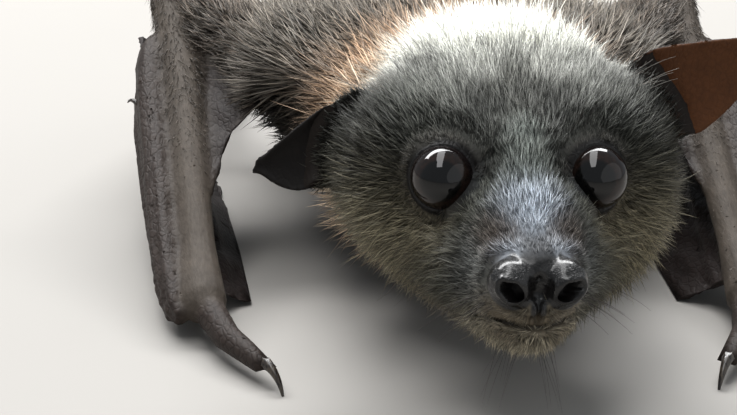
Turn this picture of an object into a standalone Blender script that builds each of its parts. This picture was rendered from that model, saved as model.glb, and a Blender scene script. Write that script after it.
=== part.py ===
"""A young grey-headed flying fox, life-size, lying on its belly with its wings folded and its head up.

Metres, +Z up, the face towards -Y, the floor at Z = 0. Left and right are the animal's own: left is +X.
Furred pieces reach out to the tips of the coat. Sizes are written in millimetres and scaled once.
"""

from math import cos, pi, radians, sin

import bmesh
import bpy
from mathutils import Vector

MM = 0.001
GAP = 0.3  # clearance between pieces that meet
SIDES = {"left": 1, "right": -1}
UP = Vector((0, 0, 1))

# The head has its own axes: X across, F forward along the muzzle, U up, from midway between the eyes.
EYE_MIDPOINT = Vector((0, -84, 34))
HEAD_PITCH = radians(4)
EYE_RADIUS = 4.6
EYE_CENTRE = (10.9, -0.1, 0.2)
NOSTRIL_BULGE = 3.0
NOSTRIL_CENTRE = (3.5, 18.2, -8.0)
NOSTRIL_BORE = 1.15
NOSTRIL_DEPTH = 3.0
NOSTRIL_TURN = radians(32)
NOSE_GROOVE = {"width": 1.1, "depth": 1.5, "top": -5.0, "bottom": -12.6, "front": 21.9}
MOUTH_LINE = [(27, -14.2), (18, -14.2), (10, -14.6), (4, -14.9), (-6, -34)]
MOUTH_GAP = (0.22, -0.3)

# Corners of each ear in head axes: upper root, lower root, tip
EARS = {
    "left": ((20.4, -17, 13.4), (29.8, -16, 0.2), (42.4, -20.5, 14.2)),
    "right": ((22.0, -16.8, 8.4), (27.4, -15.2, -8.2), (36.3, -21.5, -6.8)),
}
EAR_THICKNESS = 0.9
EAR_HOLLOW = 2.6  # how far the middle of an ear lies behind its edges
EAR_BURIED = 0.5  # length of the root inside the head, as a share of the ear
EAR_TIP = 0.9
EAR_TAPER = 0.8  # below 1 the ear stays wide for longer, towards a rounder tip
EAR_BELLY = {"upper": 0.02, "lower": 0.14}  # how far each edge swells beyond a straight line

# Joints of the limbs, on the left side
SHOULDER = Vector((21, -30, 30))
ELBOW = Vector((46, 18, 38))
WRIST = Vector((43, -58, 5.6))
THUMB_KNUCKLE = Vector((40, -68, 3.8))
THUMB_TIP = Vector((35.5, -76, 3.0))
HIP = Vector((11, 21, 18))
KNEE = Vector((39, 32, 26))
ANKLE = Vector((32, 66, 5))
TOE_BASE = Vector((35.5, 78, 2.3))

THUMB_CLAW = {"length": 7.6, "radius": 1.15}
TOE_CLAW = {"length": 5.8, "radius": 0.9}
INDEX_CLAW = {"length": 3.2, "radius": 0.6}
TOES = 5
TOE_SPREAD = radians(10)
TOE_SPACING = 1.75
TOE_LENGTH = 9.5
TOE_RADIUS = 1.4

# Folded fingers: distance from the wrist, height, thickness
FINGER_SECTIONS = [
    (-3, 2.6, 1.8),
    (0, 4.8, 3.2),
    (10, 7.6, 4.4),
    (25, 11.5, 4.8),
    (42, 14.5, 5.2),
    (56, 16, 5.4),
    (63, 13.5, 4.8),
    (66.5, 8, 3),
]
FINGER_STATIONS = [-3, 0, 6, 14, 24, 34, 44, 53, 60, 64, 66.5]
FINGER_RIDGES = 3
FINGER_CORNERS = 14
INDEX_TIP = 49  # where the claw of the second finger stands, from the wrist
MEMBRANE_THICKNESS = 1.0
WING_PLEATS = 2.5
PLEAT_HEIGHT = 0.9

# F, top, level of the greatest width, bottom, half width
HEAD_SECTIONS = [
    (-34.5, 5, -4, -13, 9),
    (-32, 10, -5, -19, 17.5),
    (-26, 14.5, -6.5, -24, 24),
    (-19, 16.3, -7.5, -26, 26.8),
    (-12, 15.6, -8.5, -26, 26.2),
    (-6, 12.6, -8.8, -25, 22.8),
    (0, 8.4, -9, -23.6, 17.2),
    (4, 4.7, -9, -22.6, 13.2),
    (8, 1.5, -9.2, -21.8, 10.2),
    (12, -1.3, -9.4, -20.6, 8.3),
    (16, -3.5, -9.4, -18.6, 7.2),
    (19, -4.7, -9.5, -16.3, 6.5),
    (21, -6.3, -9.8, -14.2, 4.9),
    (21.8, -8, -10, -12.4, 2.6),
]
HEAD_STATIONS = [-34.5, -33.4, -31.5, -28, -23.5, -19, -14, -9.5, -6, -3, 0, 3, 6, 9, 12, 15, 17.5, 19.5, 21, 21.8]
HEAD_FULLNESS = 2.25
FLUFFED_SIDE = 1.07  # the coat stands out further on the left of the head
PRESSED_SIDE = 0.28  # how much the right cheek narrows towards the throat
HEAD_CORNERS = 26

# Y, top, level of the greatest width, bottom, half width
TRUNK_SECTIONS = [
    (-47, 37, 26, 13, 11),
    (-44, 44.5, 25, 6, 21.5),
    (-37, 49.5, 23, 0.5, 27.8),
    (-22, 51.5, 21, -1.5, 30),
    (-4, 50, 19, -2, 29.5),
    (12, 45.5, 17, -2, 27),
    (26, 38, 15, -1.5, 22.5),
    (35, 30, 13.5, 1.5, 16),
    (39, 22, 13, 6, 8),
]
TRUNK_STATIONS = [-47, -45.5, -43, -37, -29, -20, -10, 1, 11, 20, 27, 32.5, 36.5, 39]
NECK_SECTIONS = [
    (-64, 36, 30, 22, 10),
    (-60, 45, 29, 13, 21),
    (-52, 49, 27, 6.5, 26),
    (-42, 50.5, 25, 3, 28),
    (-35, 46, 24, 7, 24),
    (-31, 35, 24, 15, 11),
]
NECK_STATIONS = [-64, -62.2, -59, -54, -48, -42, -36, -32.5, -31]
BODY_FULLNESS = 2.15
BODY_CORNERS = 24


def clear_scene():
    for obj in list(bpy.data.objects):
        bpy.data.objects.remove(obj)


def material(name, colour, roughness):
    made = bpy.data.materials.new(name)
    made.use_nodes = True
    shader = made.node_tree.nodes["Principled BSDF"]
    shader.inputs["Base Color"].default_value = (*colour, 1)
    shader.inputs["Roughness"].default_value = roughness
    shader.inputs["Metallic"].default_value = 0
    return made


def head_point(x, f, u):
    """A point in head axes as a point of the whole animal."""
    forward = Vector((0, -cos(HEAD_PITCH), -sin(HEAD_PITCH)))
    up = Vector((0, -sin(HEAD_PITCH), cos(HEAD_PITCH)))
    return EYE_MIDPOINT + Vector((x, 0, 0)) + f * forward + u * up


def mirrored(point, side):
    return Vector((point.x * side, point.y, point.z))


def smoothed(keys, place):
    """The values at a place among rows of keys (place, value, ...), on a smooth curve through them."""
    i = max(j for j in range(len(keys) - 1) if j == 0 or keys[j][0] <= place)
    before, start, end, after = keys[max(0, i - 1)], keys[i], keys[i + 1], keys[min(len(keys) - 1, i + 2)]
    span = end[0] - start[0]
    t = (place - start[0]) / span
    values = []
    for column in range(1, len(start)):
        slope_in = span * (end[column] - before[column]) / (end[0] - before[0])
        slope_out = span * (after[column] - start[column]) / (after[0] - start[0])
        values.append(
            (2 * t**3 - 3 * t**2 + 1) * start[column]
            + (t**3 - 2 * t**2 + t) * slope_in
            + (3 * t**2 - 2 * t**3) * end[column]
            + (t**3 - t**2) * slope_out
        )
    return values


def rounded(value, power):
    return abs(value) ** power * (1 if value >= 0 else -1)


def egg_section(values, fullness, corners):
    """Points (across, height) round a section whose greatest width lies between its top and bottom."""
    top, level, bottom, half_width = values
    points = []
    for k in range(corners):
        angle = 2 * pi * k / corners
        height = rounded(sin(angle), 2 / fullness)
        reach = top - level if height >= 0 else level - bottom
        points.append((half_width * rounded(cos(angle), 2 / fullness), level + reach * height))
    return points


def finished(name, mesh, finish):
    """The bmesh as an object, in triangles, with its faces turned outwards."""
    bmesh.ops.triangulate(mesh, faces=mesh.faces)
    bmesh.ops.recalc_face_normals(mesh, faces=mesh.faces)
    data = bpy.data.meshes.new(name)
    mesh.to_mesh(data)
    mesh.free()
    data.shade_smooth()
    data.materials.append(finish)
    obj = bpy.data.objects.new(name, data)
    bpy.context.scene.collection.objects.link(obj)
    return obj


def body_through(name, rings, finish):
    """A closed body through rings of points in millimetres, each end closed to its centre."""
    mesh = bmesh.new()
    loops = [[mesh.verts.new(point * MM) for point in ring] for ring in rings]
    count = len(rings[0])
    for first, second in zip(loops, loops[1:]):
        for k in range(count):
            n = (k + 1) % count
            mesh.faces.new((first[k], first[n], second[n], second[k]))
    for loop in (loops[0], loops[-1]):
        centre = mesh.verts.new(sum((v.co for v in loop), Vector()) / count)
        for k in range(count):
            mesh.faces.new((loop[k], loop[(k + 1) % count], centre))
    return finished(name, mesh, finish)


def limb(name, path, radii, finish, corners=12, flatness=1.0, across=None, ends=2):
    """A round limb along a path, with a radius at each point. flatness is height over width.

    Each end is rounded in as many steps as ends says.
    """
    headings = [
        (path[min(i + 1, len(path) - 1)] - path[max(i - 1, 0)]).normalized() for i in range(len(path))
    ]
    round_end = [radians(75) * (k + 1) / (ends + 0.3) for k in range(ends)]
    stations = [
        (path[0] - headings[0] * radii[0] * sin(lean), radii[0] * cos(lean), headings[0])
        for lean in reversed(round_end)
    ]
    stations += list(zip(path, radii, headings))
    stations += [
        (path[-1] + headings[-1] * radii[-1] * sin(lean), radii[-1] * cos(lean), headings[-1])
        for lean in round_end
    ]
    rings = []
    for centre, radius, heading in stations:
        wide = (across or heading.cross(UP)).normalized()
        high = wide.cross(heading).normalized() * flatness
        turns = [2 * pi * k / corners for k in range(corners)]
        rings.append([centre + radius * (wide * cos(a) + high * sin(a)) for a in turns])
    return body_through(name, rings, finish)


def sheet(name, rows, thickness, finish):
    """A thin closed sheet through rows of points in millimetres."""
    mesh = bmesh.new()
    grid = [[mesh.verts.new(point * MM) for point in row] for row in rows]
    for first, second in zip(grid, grid[1:]):
        for k in range(len(first) - 1):
            mesh.faces.new((first[k], first[k + 1], second[k + 1], second[k]))
    obj = finished(name, mesh, finish)
    wall = obj.modifiers.new("thickness", "SOLIDIFY")
    wall.thickness = thickness * MM
    wall.offset = 0
    apply_modifiers(obj)
    return obj


def ball(name, centre, radius, finish=None, fineness=3):
    mesh = bmesh.new()
    bmesh.ops.create_icosphere(mesh, subdivisions=fineness, radius=radius * MM)
    bmesh.ops.translate(mesh, vec=centre * MM, verts=mesh.verts)
    return finished(name, mesh, finish)


def apply_modifiers(obj):
    graph = bpy.context.evaluated_depsgraph_get()
    made = bpy.data.meshes.new_from_object(obj.evaluated_get(graph))
    obj.modifiers.clear()
    obj.data = made


def boolean(obj, tool, operation):
    """Joins the tool to the object, or cuts it away, and removes the tool."""
    step = obj.modifiers.new(operation, "BOOLEAN")
    step.operation = operation
    step.object = tool
    apply_modifiers(obj)
    bpy.data.objects.remove(tool)


def swollen(obj, by):
    """A copy grown by a distance in millimetres all over."""
    copy = obj.copy()
    copy.data = obj.data.copy()
    bpy.context.scene.collection.objects.link(copy)
    normals = [v.normal.copy() for v in copy.data.vertices]
    for vertex, normal in zip(copy.data.vertices, normals):
        vertex.co += normal * by * MM
    return copy


def islands(mesh):
    """The separate bodies of a bmesh, each as a list of its vertices, the longest body first."""
    found, seen = [], set()
    for start in mesh.verts:
        if start in seen:
            continue
        reached, front = [], [start]
        seen.add(start)
        while front:
            vertex = front.pop()
            reached.append(vertex)
            for edge in vertex.link_edges:
                other = edge.other_vert(vertex)
                if other not in seen:
                    seen.add(other)
                    front.append(other)
        found.append(reached)
    return sorted(found, key=body_length, reverse=True)


def body_length(vertices):
    """The diagonal of the box round some vertices."""
    low = Vector([min(v.co[axis] for v in vertices) for axis in range(3)])
    high = Vector([max(v.co[axis] for v in vertices) for axis in range(3)])
    return (high - low).length


def keep_body(obj, place=0):
    """Keeps one body of an object, the longest unless another place in their order is given."""
    mesh = bmesh.new()
    mesh.from_mesh(obj.data)
    for k, body in enumerate(islands(mesh)):
        if k != place:
            bmesh.ops.delete(mesh, geom=body, context="VERTS")
    bmesh.ops.triangulate(mesh, faces=mesh.faces)
    mesh.to_mesh(obj.data)
    mesh.free()


def make_room(obj, *neighbours):
    """Cuts the object back from its neighbours, leaving the gap."""
    for neighbour in neighbours:
        boolean(obj, swollen(neighbour, GAP), "DIFFERENCE")
        keep_body(obj)


def set_on_floor(obj):
    """Cuts away what lies under the floor and leaves a flat sole."""
    mesh = bmesh.new()
    bmesh.ops.create_cube(mesh, size=1)
    bmesh.ops.translate(mesh, vec=(0, 0, -0.5), verts=mesh.verts)
    boolean(obj, finished("floor", mesh, None), "DIFFERENCE")
    keep_body(obj)


def claw(name, base, heading, shape, finish, steps=4, corners=5):
    """A hooked claw from its base, first level along the heading and then curving down to a point."""
    heading = heading.normalized()
    path, radii, point = [], [], base.copy()
    for k in range(steps + 1):
        share = k / steps
        path.append(point.copy())
        radii.append(shape["radius"] * (1 - 0.8 * share**1.2))
        droop = radians(12 - 88 * share)
        point += (heading * cos(droop) + UP * sin(droop)) * shape["length"] / steps
    return limb(name, path, radii, finish, corners, across=heading.cross(UP), ends=0)


def nostril_cutter(side):
    """A round bore that opens forwards and outwards."""
    x, f, u = NOSTRIL_CENTRE
    outward = (sin(NOSTRIL_TURN), cos(NOSTRIL_TURN))
    reach = NOSTRIL_BULGE - NOSTRIL_DEPTH
    path = [
        head_point(side * (x + outward[0] * d), f + outward[1] * d, u)
        for d in (reach, reach + 0.6 * NOSTRIL_DEPTH, NOSTRIL_BULGE + 2)
    ]
    return limb("nostril", path, [0.7 * NOSTRIL_BORE, NOSTRIL_BORE, 1.25 * NOSTRIL_BORE], None, 10)


def groove_cutter():
    """A narrow upright spindle that parts the two nostrils."""
    steps = 6
    path = []
    for k in range(steps + 1):
        share = k / steps
        height = NOSE_GROOVE["top"] + share * (NOSE_GROOVE["bottom"] - NOSE_GROOVE["top"])
        path.append(head_point(0, NOSE_GROOVE["front"] - 0.4 * sin(pi * share), height))
    radii = [0.5 * NOSE_GROOVE["width"] * (0.45 + 0.55 * sin(pi * k / steps)) for k in range(steps + 1)]
    depth_over_width = 2 * NOSE_GROOVE["depth"] / NOSE_GROOVE["width"]
    return limb("groove", path, radii, None, 8, depth_over_width, across=Vector((1, 0, 0)))


def mouth_cutter():
    """A bent plate along the mouth and down behind the chin."""
    shift = MOUTH_GAP
    lower = [(f + shift[0], u + shift[1]) for f, u in MOUTH_LINE]
    profile = MOUTH_LINE + lower[::-1]
    mesh = bmesh.new()
    halves = [[mesh.verts.new(head_point(x, f, u) * MM) for f, u in profile] for x in (-32, 32)]
    for k in range(len(profile)):
        n = (k + 1) % len(profile)
        mesh.faces.new((halves[0][k], halves[0][n], halves[1][n], halves[1][k]))
    steps = len(MOUTH_LINE)
    for half in halves:
        for k in range(steps - 1):
            mesh.faces.new((half[k], half[k + 1], half[2 * steps - 2 - k], half[2 * steps - 1 - k]))
    return finished("mouth", mesh, None)


def make_head(finish):
    """The head with its nose, nostrils and eye sockets, in one piece with the lower jaw."""
    rings = []
    for f in HEAD_STATIONS:
        fluff = FLUFFED_SIDE if f < 0 else 1
        press = PRESSED_SIDE * min(1, max(0, (12 - f) / 12))
        section = smoothed(HEAD_SECTIONS, f)
        level, bottom = section[1], section[2]
        ring = egg_section(section, HEAD_FULLNESS, HEAD_CORNERS)
        rings.append([])
        for x, u in ring:
            low = min(1, max(0, (level - u) / (level - bottom)))
            rings[-1].append(head_point(x * fluff if x > 0 else x * (1 - press * low), f, u))
    head = body_through("head", rings, finish)
    x, f, u = NOSTRIL_CENTRE
    for side in SIDES.values():
        boolean(head, ball("bulge", head_point(side * x, f, u), NOSTRIL_BULGE), "UNION")
    boolean(head, groove_cutter(), "DIFFERENCE")
    for side in SIDES.values():
        boolean(head, nostril_cutter(side), "DIFFERENCE")
        x, f, u = EYE_CENTRE
        socket = ball("socket", head_point(side * x, f, u), EYE_RADIUS + GAP)
        boolean(head, socket, "DIFFERENCE")
    return head


def split_jaw(head):
    """Parts the lower jaw from the head along the mouth."""
    boolean(head, mouth_cutter(), "DIFFERENCE")
    jaw = head.copy()
    jaw.data = head.data.copy()
    jaw.name = jaw.data.name = "lower_jaw"
    bpy.context.scene.collection.objects.link(jaw)
    keep_body(head)
    keep_body(jaw, 1)
    return jaw


def make_ear(side_name, finish):
    """A thin pointed ear, hollow in front, between its two roots and its tip."""
    side = SIDES[side_name]
    upper, lower, tip = (Vector(corner) for corner in EARS[side_name])
    behind = (upper - tip).cross(lower - tip).normalized()
    if behind.y > 0:
        behind.negate()
    rows = []
    steps, spread = 13, 7
    for i in range(steps):
        t = -EAR_BURIED + (1 + EAR_BURIED) * i / (steps - 1)
        middle = (upper + lower) / 2 * (1 - t) + tip * t
        half = (upper - lower) / 2 * (1 - t if t < 0 else (1 - t) ** EAR_TAPER)
        half *= 1 if t > 0 else 1 + 0.9 * t
        if half.length < EAR_TIP:
            half = (upper - lower).normalized() * EAR_TIP
        row = []
        for k in range(spread):
            s = 1 - 2 * k / (spread - 1)
            hollow = EAR_HOLLOW * (1 - s * s) * (1 - 0.75 * max(t, 0))
            belly = 1 + (EAR_BELLY["lower"] if s < 0 else EAR_BELLY["upper"]) * sin(pi * max(t, 0))
            point = middle + half * s * belly + behind * hollow
            row.append(head_point(side * point.x, point.y, point.z))
        rows.append(row)
    return sheet(f"ear_{side_name}", rows, EAR_THICKNESS, finish)


def make_torso(name, sections, stations, finish):
    rings = []
    for y in stations:
        ring = egg_section(smoothed(sections, y), BODY_FULLNESS, BODY_CORNERS)
        rings.append([Vector((x, y, z)) for x, z in ring])
    obj = body_through(name, rings, finish)
    set_on_floor(obj)
    return obj


def along(start, end, shares):
    return [start.lerp(end, share) for share in shares]


def finger_frame(place):
    """At a distance from the wrist: the middle of the folded fingers, their three directions and size."""
    heading = (ELBOW - WRIST).normalized()
    outward = heading.cross(UP).normalized()
    rise = outward.cross(heading).normalized()
    height, thickness = smoothed(FINGER_SECTIONS, place)
    centre = WRIST + heading * place + outward * (3.0 + thickness / 2) - rise * height * 0.36
    return centre, heading, outward, rise, height, thickness


def make_folded_fingers(name, side, finish):
    """The folded hand: finger bones side by side under the forearm, with the skin pleated between them."""
    rings = []
    for place in FINGER_STATIONS:
        centre, heading, outward, rise, height, thickness = finger_frame(place)
        ring = []
        for k in range(FINGER_CORNERS):
            angle = 2 * pi * k / FINGER_CORNERS
            level = rounded(sin(angle), 0.85)
            ridge = 1 + 0.2 * cos(pi * (level + 1) * FINGER_RIDGES) if cos(angle) > 0 else 1
            reach = thickness / 2 * rounded(cos(angle), 0.85) * ridge
            ring.append(mirrored(centre + outward * reach + rise * level * height / 2, side))
        rings.append(ring)
    obj = body_through(name, rings, finish)
    set_on_floor(obj)
    return obj


def make_fore_membrane(name, side, finish):
    """The skin between the upper arm and the forearm, with a hollow front edge."""
    rows = []
    steps, spread = 5, 6
    for i in range(spread):
        t = i / (spread - 1)
        first = 0.1 + 0.24 * sin(pi * t)
        row = []
        for k in range(steps):
            s = first + (0.8 - first) * k / (steps - 1)
            sag = UP * -3 * sin(pi * t) * (1 - s)
            row.append(mirrored(SHOULDER.lerp(ELBOW, s).lerp(WRIST.lerp(ELBOW, s), t) + sag, side))
        rows.append(row)
    return sheet(name, rows, MEMBRANE_THICKNESS, finish)


def make_side_membrane(name, side, finish):
    """The slack skin that hangs from the folded hand and runs back to the ankle."""
    # share of the way back, upper edge X, Y, Z, lower edge X, Y, Z
    edges = [
        (0, 41, -52, 6, 35, -46, 0.2),
        (0.3, 46, -22, 13, 35.5, -22, 0.2),
        (0.55, 51, 6, 22, 37, 4, 0.2),
        (0.7, 52, 22, 27, 38, 22, 0.2),
        (0.86, 45, 46, 17, 37, 44, 0.2),
        (1, 36.5, 63, 7, 31, 60, 1.2),
    ]
    rows = []
    steps, spread = 11, 7
    for i in range(steps):
        s = i / (steps - 1)
        edge = smoothed(edges, s)
        upper, lower = Vector(edge[:3]), Vector(edge[3:])
        row = []
        for k in range(spread):
            t = k / (spread - 1)
            fold = PLEAT_HEIGHT * sin(2 * pi * WING_PLEATS * t) * sin(pi * min(1, 0.1 + s))
            bulge = 1.6 * sin(pi * t) + fold
            row.append(mirrored(upper.lerp(lower, t) + Vector((bulge, 0, 0)), side))
        rows.append(row)
    obj = sheet(name, rows, MEMBRANE_THICKNESS, finish)
    set_on_floor(obj)
    return obj


def make_foot(name, side, finish):
    """The foot with its five toes, flat underneath."""
    heading = (TOE_BASE - ANKLE).normalized()
    path = [mirrored(p, side) for p in along(ANKLE, TOE_BASE, (0, 0.35, 0.75, 1))]
    foot = limb(name, path, [2.7, 3.4, 4.3, 4.4], finish, 10, 0.62, ends=1)
    for k in range(TOES):
        start, end = toe_line(k, heading)
        middle = start.lerp(end, 0.5) + UP * 0.5
        toe = [mirrored(p, side) for p in (start, middle, end)]
        radii = [TOE_RADIUS, 1.02 * TOE_RADIUS, 0.86 * TOE_RADIUS]
        boolean(foot, limb("toe", toe, radii, None, 6, ends=1), "UNION")
    set_on_floor(foot)
    return foot


def toe_line(k, heading):
    """Where a toe starts and ends, the middle one lying straight ahead."""
    place = k - (TOES - 1) / 2
    across = heading.cross(UP).normalized()
    level = Vector((heading.x, heading.y, 0)).normalized()
    start = TOE_BASE + across * place * TOE_SPACING - level * (1 + 0.3 * abs(place))
    turn = TOE_SPREAD * place
    start.z = TOE_RADIUS * 0.92
    return start, start + (level * cos(turn) + across * sin(turn)) * TOE_LENGTH


def make_hind_leg(side_name, trunk, paint):
    side = SIDES[side_name]
    thigh_path = [mirrored(p, side) for p in along(HIP, KNEE, (0, 0.5, 1))]
    thigh = limb(f"thigh_{side_name}", thigh_path, [8.5, 7, 4.8], paint["back_fur"], 10)
    make_room(thigh, trunk)
    shank_path = [mirrored(p, side) for p in along(KNEE, ANKLE, (0, 0.25, 0.6, 1))]
    shank = limb(f"shank_{side_name}", shank_path, [4.2, 4.0, 2.9, 2.6], paint["back_fur"], 10)
    set_on_floor(shank)
    foot = make_foot(f"foot_{side_name}", side, paint["wing_skin"])
    make_room(shank, thigh, foot, trunk)
    heading = (TOE_BASE - ANKLE).normalized()
    for k in range(TOES):
        start, end = toe_line(k, heading)
        base = mirrored(end + UP * 0.75, side)
        pointing = mirrored(end - start, side)
        hook = claw(f"toe_claw_{side_name}_{k + 1}", base, pointing, TOE_CLAW, paint["claw"])
        set_on_floor(hook)
        make_room(hook, foot)
    return thigh, shank, foot


def make_wing(side_name, trunk, neck, leg, paint):
    """The arm, the thumb, the folded fingers and the three stretches of wing skin."""
    side = SIDES[side_name]
    fore_path = [mirrored(p, side) for p in along(ELBOW, WRIST, (0, 0.15, 0.5, 0.85, 1))]
    forearm = limb(f"forearm_{side_name}", fore_path, [5.0, 4.4, 3.2, 3.0, 3.9], paint["wing_skin"])
    set_on_floor(forearm)
    arm_path = [mirrored(p, side) for p in along(SHOULDER, ELBOW, (0, 0.35, 0.7, 0.93))]
    upper_arm = limb(f"upper_arm_{side_name}", arm_path, [9, 7.6, 5.6, 4.5], paint["back_fur"], 10)
    make_room(upper_arm, forearm, trunk, neck)
    thumb_path = [mirrored(p, side) for p in (WRIST, THUMB_KNUCKLE, THUMB_TIP)]
    thumb = limb(f"thumb_{side_name}", thumb_path, [3.0, 2.3, 1.7], paint["wing_skin"], 10)
    set_on_floor(thumb)
    make_room(thumb, forearm)
    hook = claw(
        f"thumb_claw_{side_name}",
        mirrored(THUMB_TIP + UP * 0.4, side),
        mirrored(THUMB_TIP - THUMB_KNUCKLE, side),
        THUMB_CLAW,
        paint["claw"],
        6,
        6,
    )
    set_on_floor(hook)
    make_room(hook, thumb)
    fingers = make_folded_fingers(f"folded_fingers_{side_name}", side, paint["wing_skin"])
    make_room(fingers, forearm, upper_arm, thumb)
    centre, heading, outward, rise, height, thickness = finger_frame(INDEX_TIP)
    base = mirrored(centre + outward * (thickness / 2 - 0.4) + rise * 0.3 * height, side)
    pointing = mirrored(heading + 0.8 * outward, side)
    hook = claw(f"index_claw_{side_name}", base, pointing, INDEX_CLAW, paint["claw"])
    make_room(hook, fingers)
    fore_skin = make_fore_membrane(f"fore_membrane_{side_name}", side, paint["wing_skin"])
    make_room(fore_skin, trunk, neck, upper_arm, forearm)
    side_skin = make_side_membrane(f"side_membrane_{side_name}", side, paint["wing_skin"])
    make_room(side_skin, fingers, forearm, upper_arm, thumb, trunk, *leg)


def centre_on_floor():
    """Puts the origin under the middle of the animal's own box."""
    pieces = [obj for obj in bpy.data.objects if obj.type == "MESH"]
    corners = [v.co for obj in pieces for v in obj.data.vertices]
    shift = Vector((
        -(min(c.x for c in corners) + max(c.x for c in corners)) / 2,
        -(min(c.y for c in corners) + max(c.y for c in corners)) / 2,
        -min(c.z for c in corners),
    ))
    for obj in pieces:
        for vertex in obj.data.vertices:
            vertex.co += shift
    print("moved by", [round(value / MM, 3) for value in shift], "mm")


def main():
    clear_scene()
    paint = {
        "face_fur": material("face_fur", (0.13, 0.13, 0.12), 0.85),
        "mantle_fur": material("mantle_fur", (0.36, 0.22, 0.11), 0.85),
        "back_fur": material("back_fur", (0.14, 0.13, 0.12), 0.85),
        "ear": material("ear", (0.05, 0.03, 0.02), 0.6),
        "eye": material("eye", (0.015, 0.01, 0.008), 0.05),
        "wing_skin": material("wing_skin", (0.03, 0.025, 0.023), 0.55),
        "claw": material("claw", (0.02, 0.018, 0.016), 0.3),
    }
    head = make_head(paint["face_fur"])
    jaw = split_jaw(head)
    trunk = make_torso("trunk", TRUNK_SECTIONS, TRUNK_STATIONS, paint["back_fur"])
    neck = make_torso("neck", NECK_SECTIONS, NECK_STATIONS, paint["mantle_fur"])
    make_room(neck, head, jaw, trunk)
    for side_name, side in SIDES.items():
        x, f, u = EYE_CENTRE
        ball(f"eye_{side_name}", head_point(side * x, f, u), EYE_RADIUS, paint["eye"])
        ear = make_ear(side_name, paint["ear"])
        make_room(ear, head, neck)
        leg = make_hind_leg(side_name, trunk, paint)
        make_wing(side_name, trunk, neck, leg, paint)
    centre_on_floor()


main()
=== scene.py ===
from math import cos, pi, radians, sin, sqrt
from time import time

import bpy
import numpy as np
from mathutils import Matrix, Vector
from mathutils.bvhtree import BVHTree


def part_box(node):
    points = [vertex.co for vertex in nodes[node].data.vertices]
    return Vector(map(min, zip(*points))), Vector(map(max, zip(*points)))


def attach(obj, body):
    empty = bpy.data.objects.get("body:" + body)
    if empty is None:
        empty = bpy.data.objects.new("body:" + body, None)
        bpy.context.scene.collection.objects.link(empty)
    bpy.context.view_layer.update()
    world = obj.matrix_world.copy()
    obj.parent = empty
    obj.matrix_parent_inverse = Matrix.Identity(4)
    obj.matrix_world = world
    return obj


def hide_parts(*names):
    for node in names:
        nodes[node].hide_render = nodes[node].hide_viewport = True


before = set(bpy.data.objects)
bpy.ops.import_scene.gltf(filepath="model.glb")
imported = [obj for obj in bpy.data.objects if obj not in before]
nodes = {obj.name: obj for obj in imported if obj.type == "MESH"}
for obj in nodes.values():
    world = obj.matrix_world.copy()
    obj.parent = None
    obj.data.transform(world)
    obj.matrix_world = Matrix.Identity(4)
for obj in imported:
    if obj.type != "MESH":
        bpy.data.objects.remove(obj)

startTime = time()
mm = 0.001
sides = {"left": 1, "right": -1}
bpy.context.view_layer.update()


def report(words):
    print(f"[{time() - startTime:5.1f} s] {words}")


# the head's own axes: x across, f forwards along the muzzle, u up, in millimetres from between the eyes
headPitch = radians(4)
headForward = np.array((0, -cos(headPitch), -sin(headPitch)))
headUp = np.array((0, -sin(headPitch), cos(headPitch)))
eyeMiddle = {side: sum(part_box(f"eye_{side}"), Vector()) / 2 for side in sides}
eyeRadius = (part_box("eye_left")[1].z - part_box("eye_left")[0].z) / 2 / mm
eyeInHead = {"x": (eyeMiddle["left"].x - eyeMiddle["right"].x) / 2 / mm, "f": -0.1, "u": 0.2}
betweenEyes = np.array((eyeMiddle["left"] + eyeMiddle["right"]) / 2)
headOrigin = betweenEyes - (eyeInHead["f"] * headForward + eyeInHead["u"] * headUp) * mm


def toHead(points):
    away = (np.asarray(points) - headOrigin) / mm
    return np.stack([away[..., 0], away @ headForward, away @ headUp], -1)


def fromHead(points):
    points = np.asarray(points, float)
    return headOrigin + mm * (
        points[..., :1] * np.array((1, 0, 0)) + points[..., 1:2] * headForward + points[..., 2:3] * headUp
    )


def turnFromHead(arrows):
    return arrows[..., :1] * np.array((1, 0, 0)) + arrows[..., 1:2] * headForward + arrows[..., 2:3] * headUp


# small helpers
def smoothStep(low, high, value):
    share = np.clip((value - low) / (high - low), 0, 1)
    return share * share * (3 - 2 * share)


def lengthOf(arrows):
    return np.sqrt((arrows**2).sum(-1, keepdims=True))


def unit(arrows):
    return arrows / np.maximum(lengthOf(arrows), 1e-12)


def linear(red, green, blue):
    # a screen colour of 0 to 255 as the shader wants it
    return tuple(
        (part / 255 / 12.92) if part < 11 else ((part / 255 + 0.055) / 1.055) ** 2.4
        for part in (red, green, blue)
    )


def activate(obj):
    bpy.ops.object.select_all(action="DESELECT")
    obj.select_set(True)
    bpy.context.view_layer.objects.active = obj


def applyAll(obj):
    activate(obj)
    for modifier in list(obj.modifiers):
        bpy.ops.object.modifier_apply(modifier=modifier.name)


def pointsOf(obj):
    points = np.empty(len(obj.data.vertices) * 3, np.float32)
    obj.data.vertices.foreach_get("co", points)
    return points.reshape(-1, 3).astype(float)


def setPoints(obj, points):
    obj.data.vertices.foreach_set("co", points.astype(np.float32).ravel())
    obj.data.update()


def normalsOf(obj):
    normals = np.empty(len(obj.data.vertices) * 3, np.float32)
    obj.data.vertices.foreach_get("normal", normals)
    return normals.reshape(-1, 3).astype(float)


def edgesOf(obj):
    edges = np.empty(len(obj.data.edges) * 2, np.int32)
    obj.data.edges.foreach_get("vertices", edges)
    return edges.reshape(-1, 2)


def trianglesOf(obj):
    obj.data.calc_loop_triangles()
    corners = np.empty(len(obj.data.loop_triangles) * 3, np.int32)
    obj.data.loop_triangles.foreach_get("vertices", corners)
    return corners.reshape(-1, 3)


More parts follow.
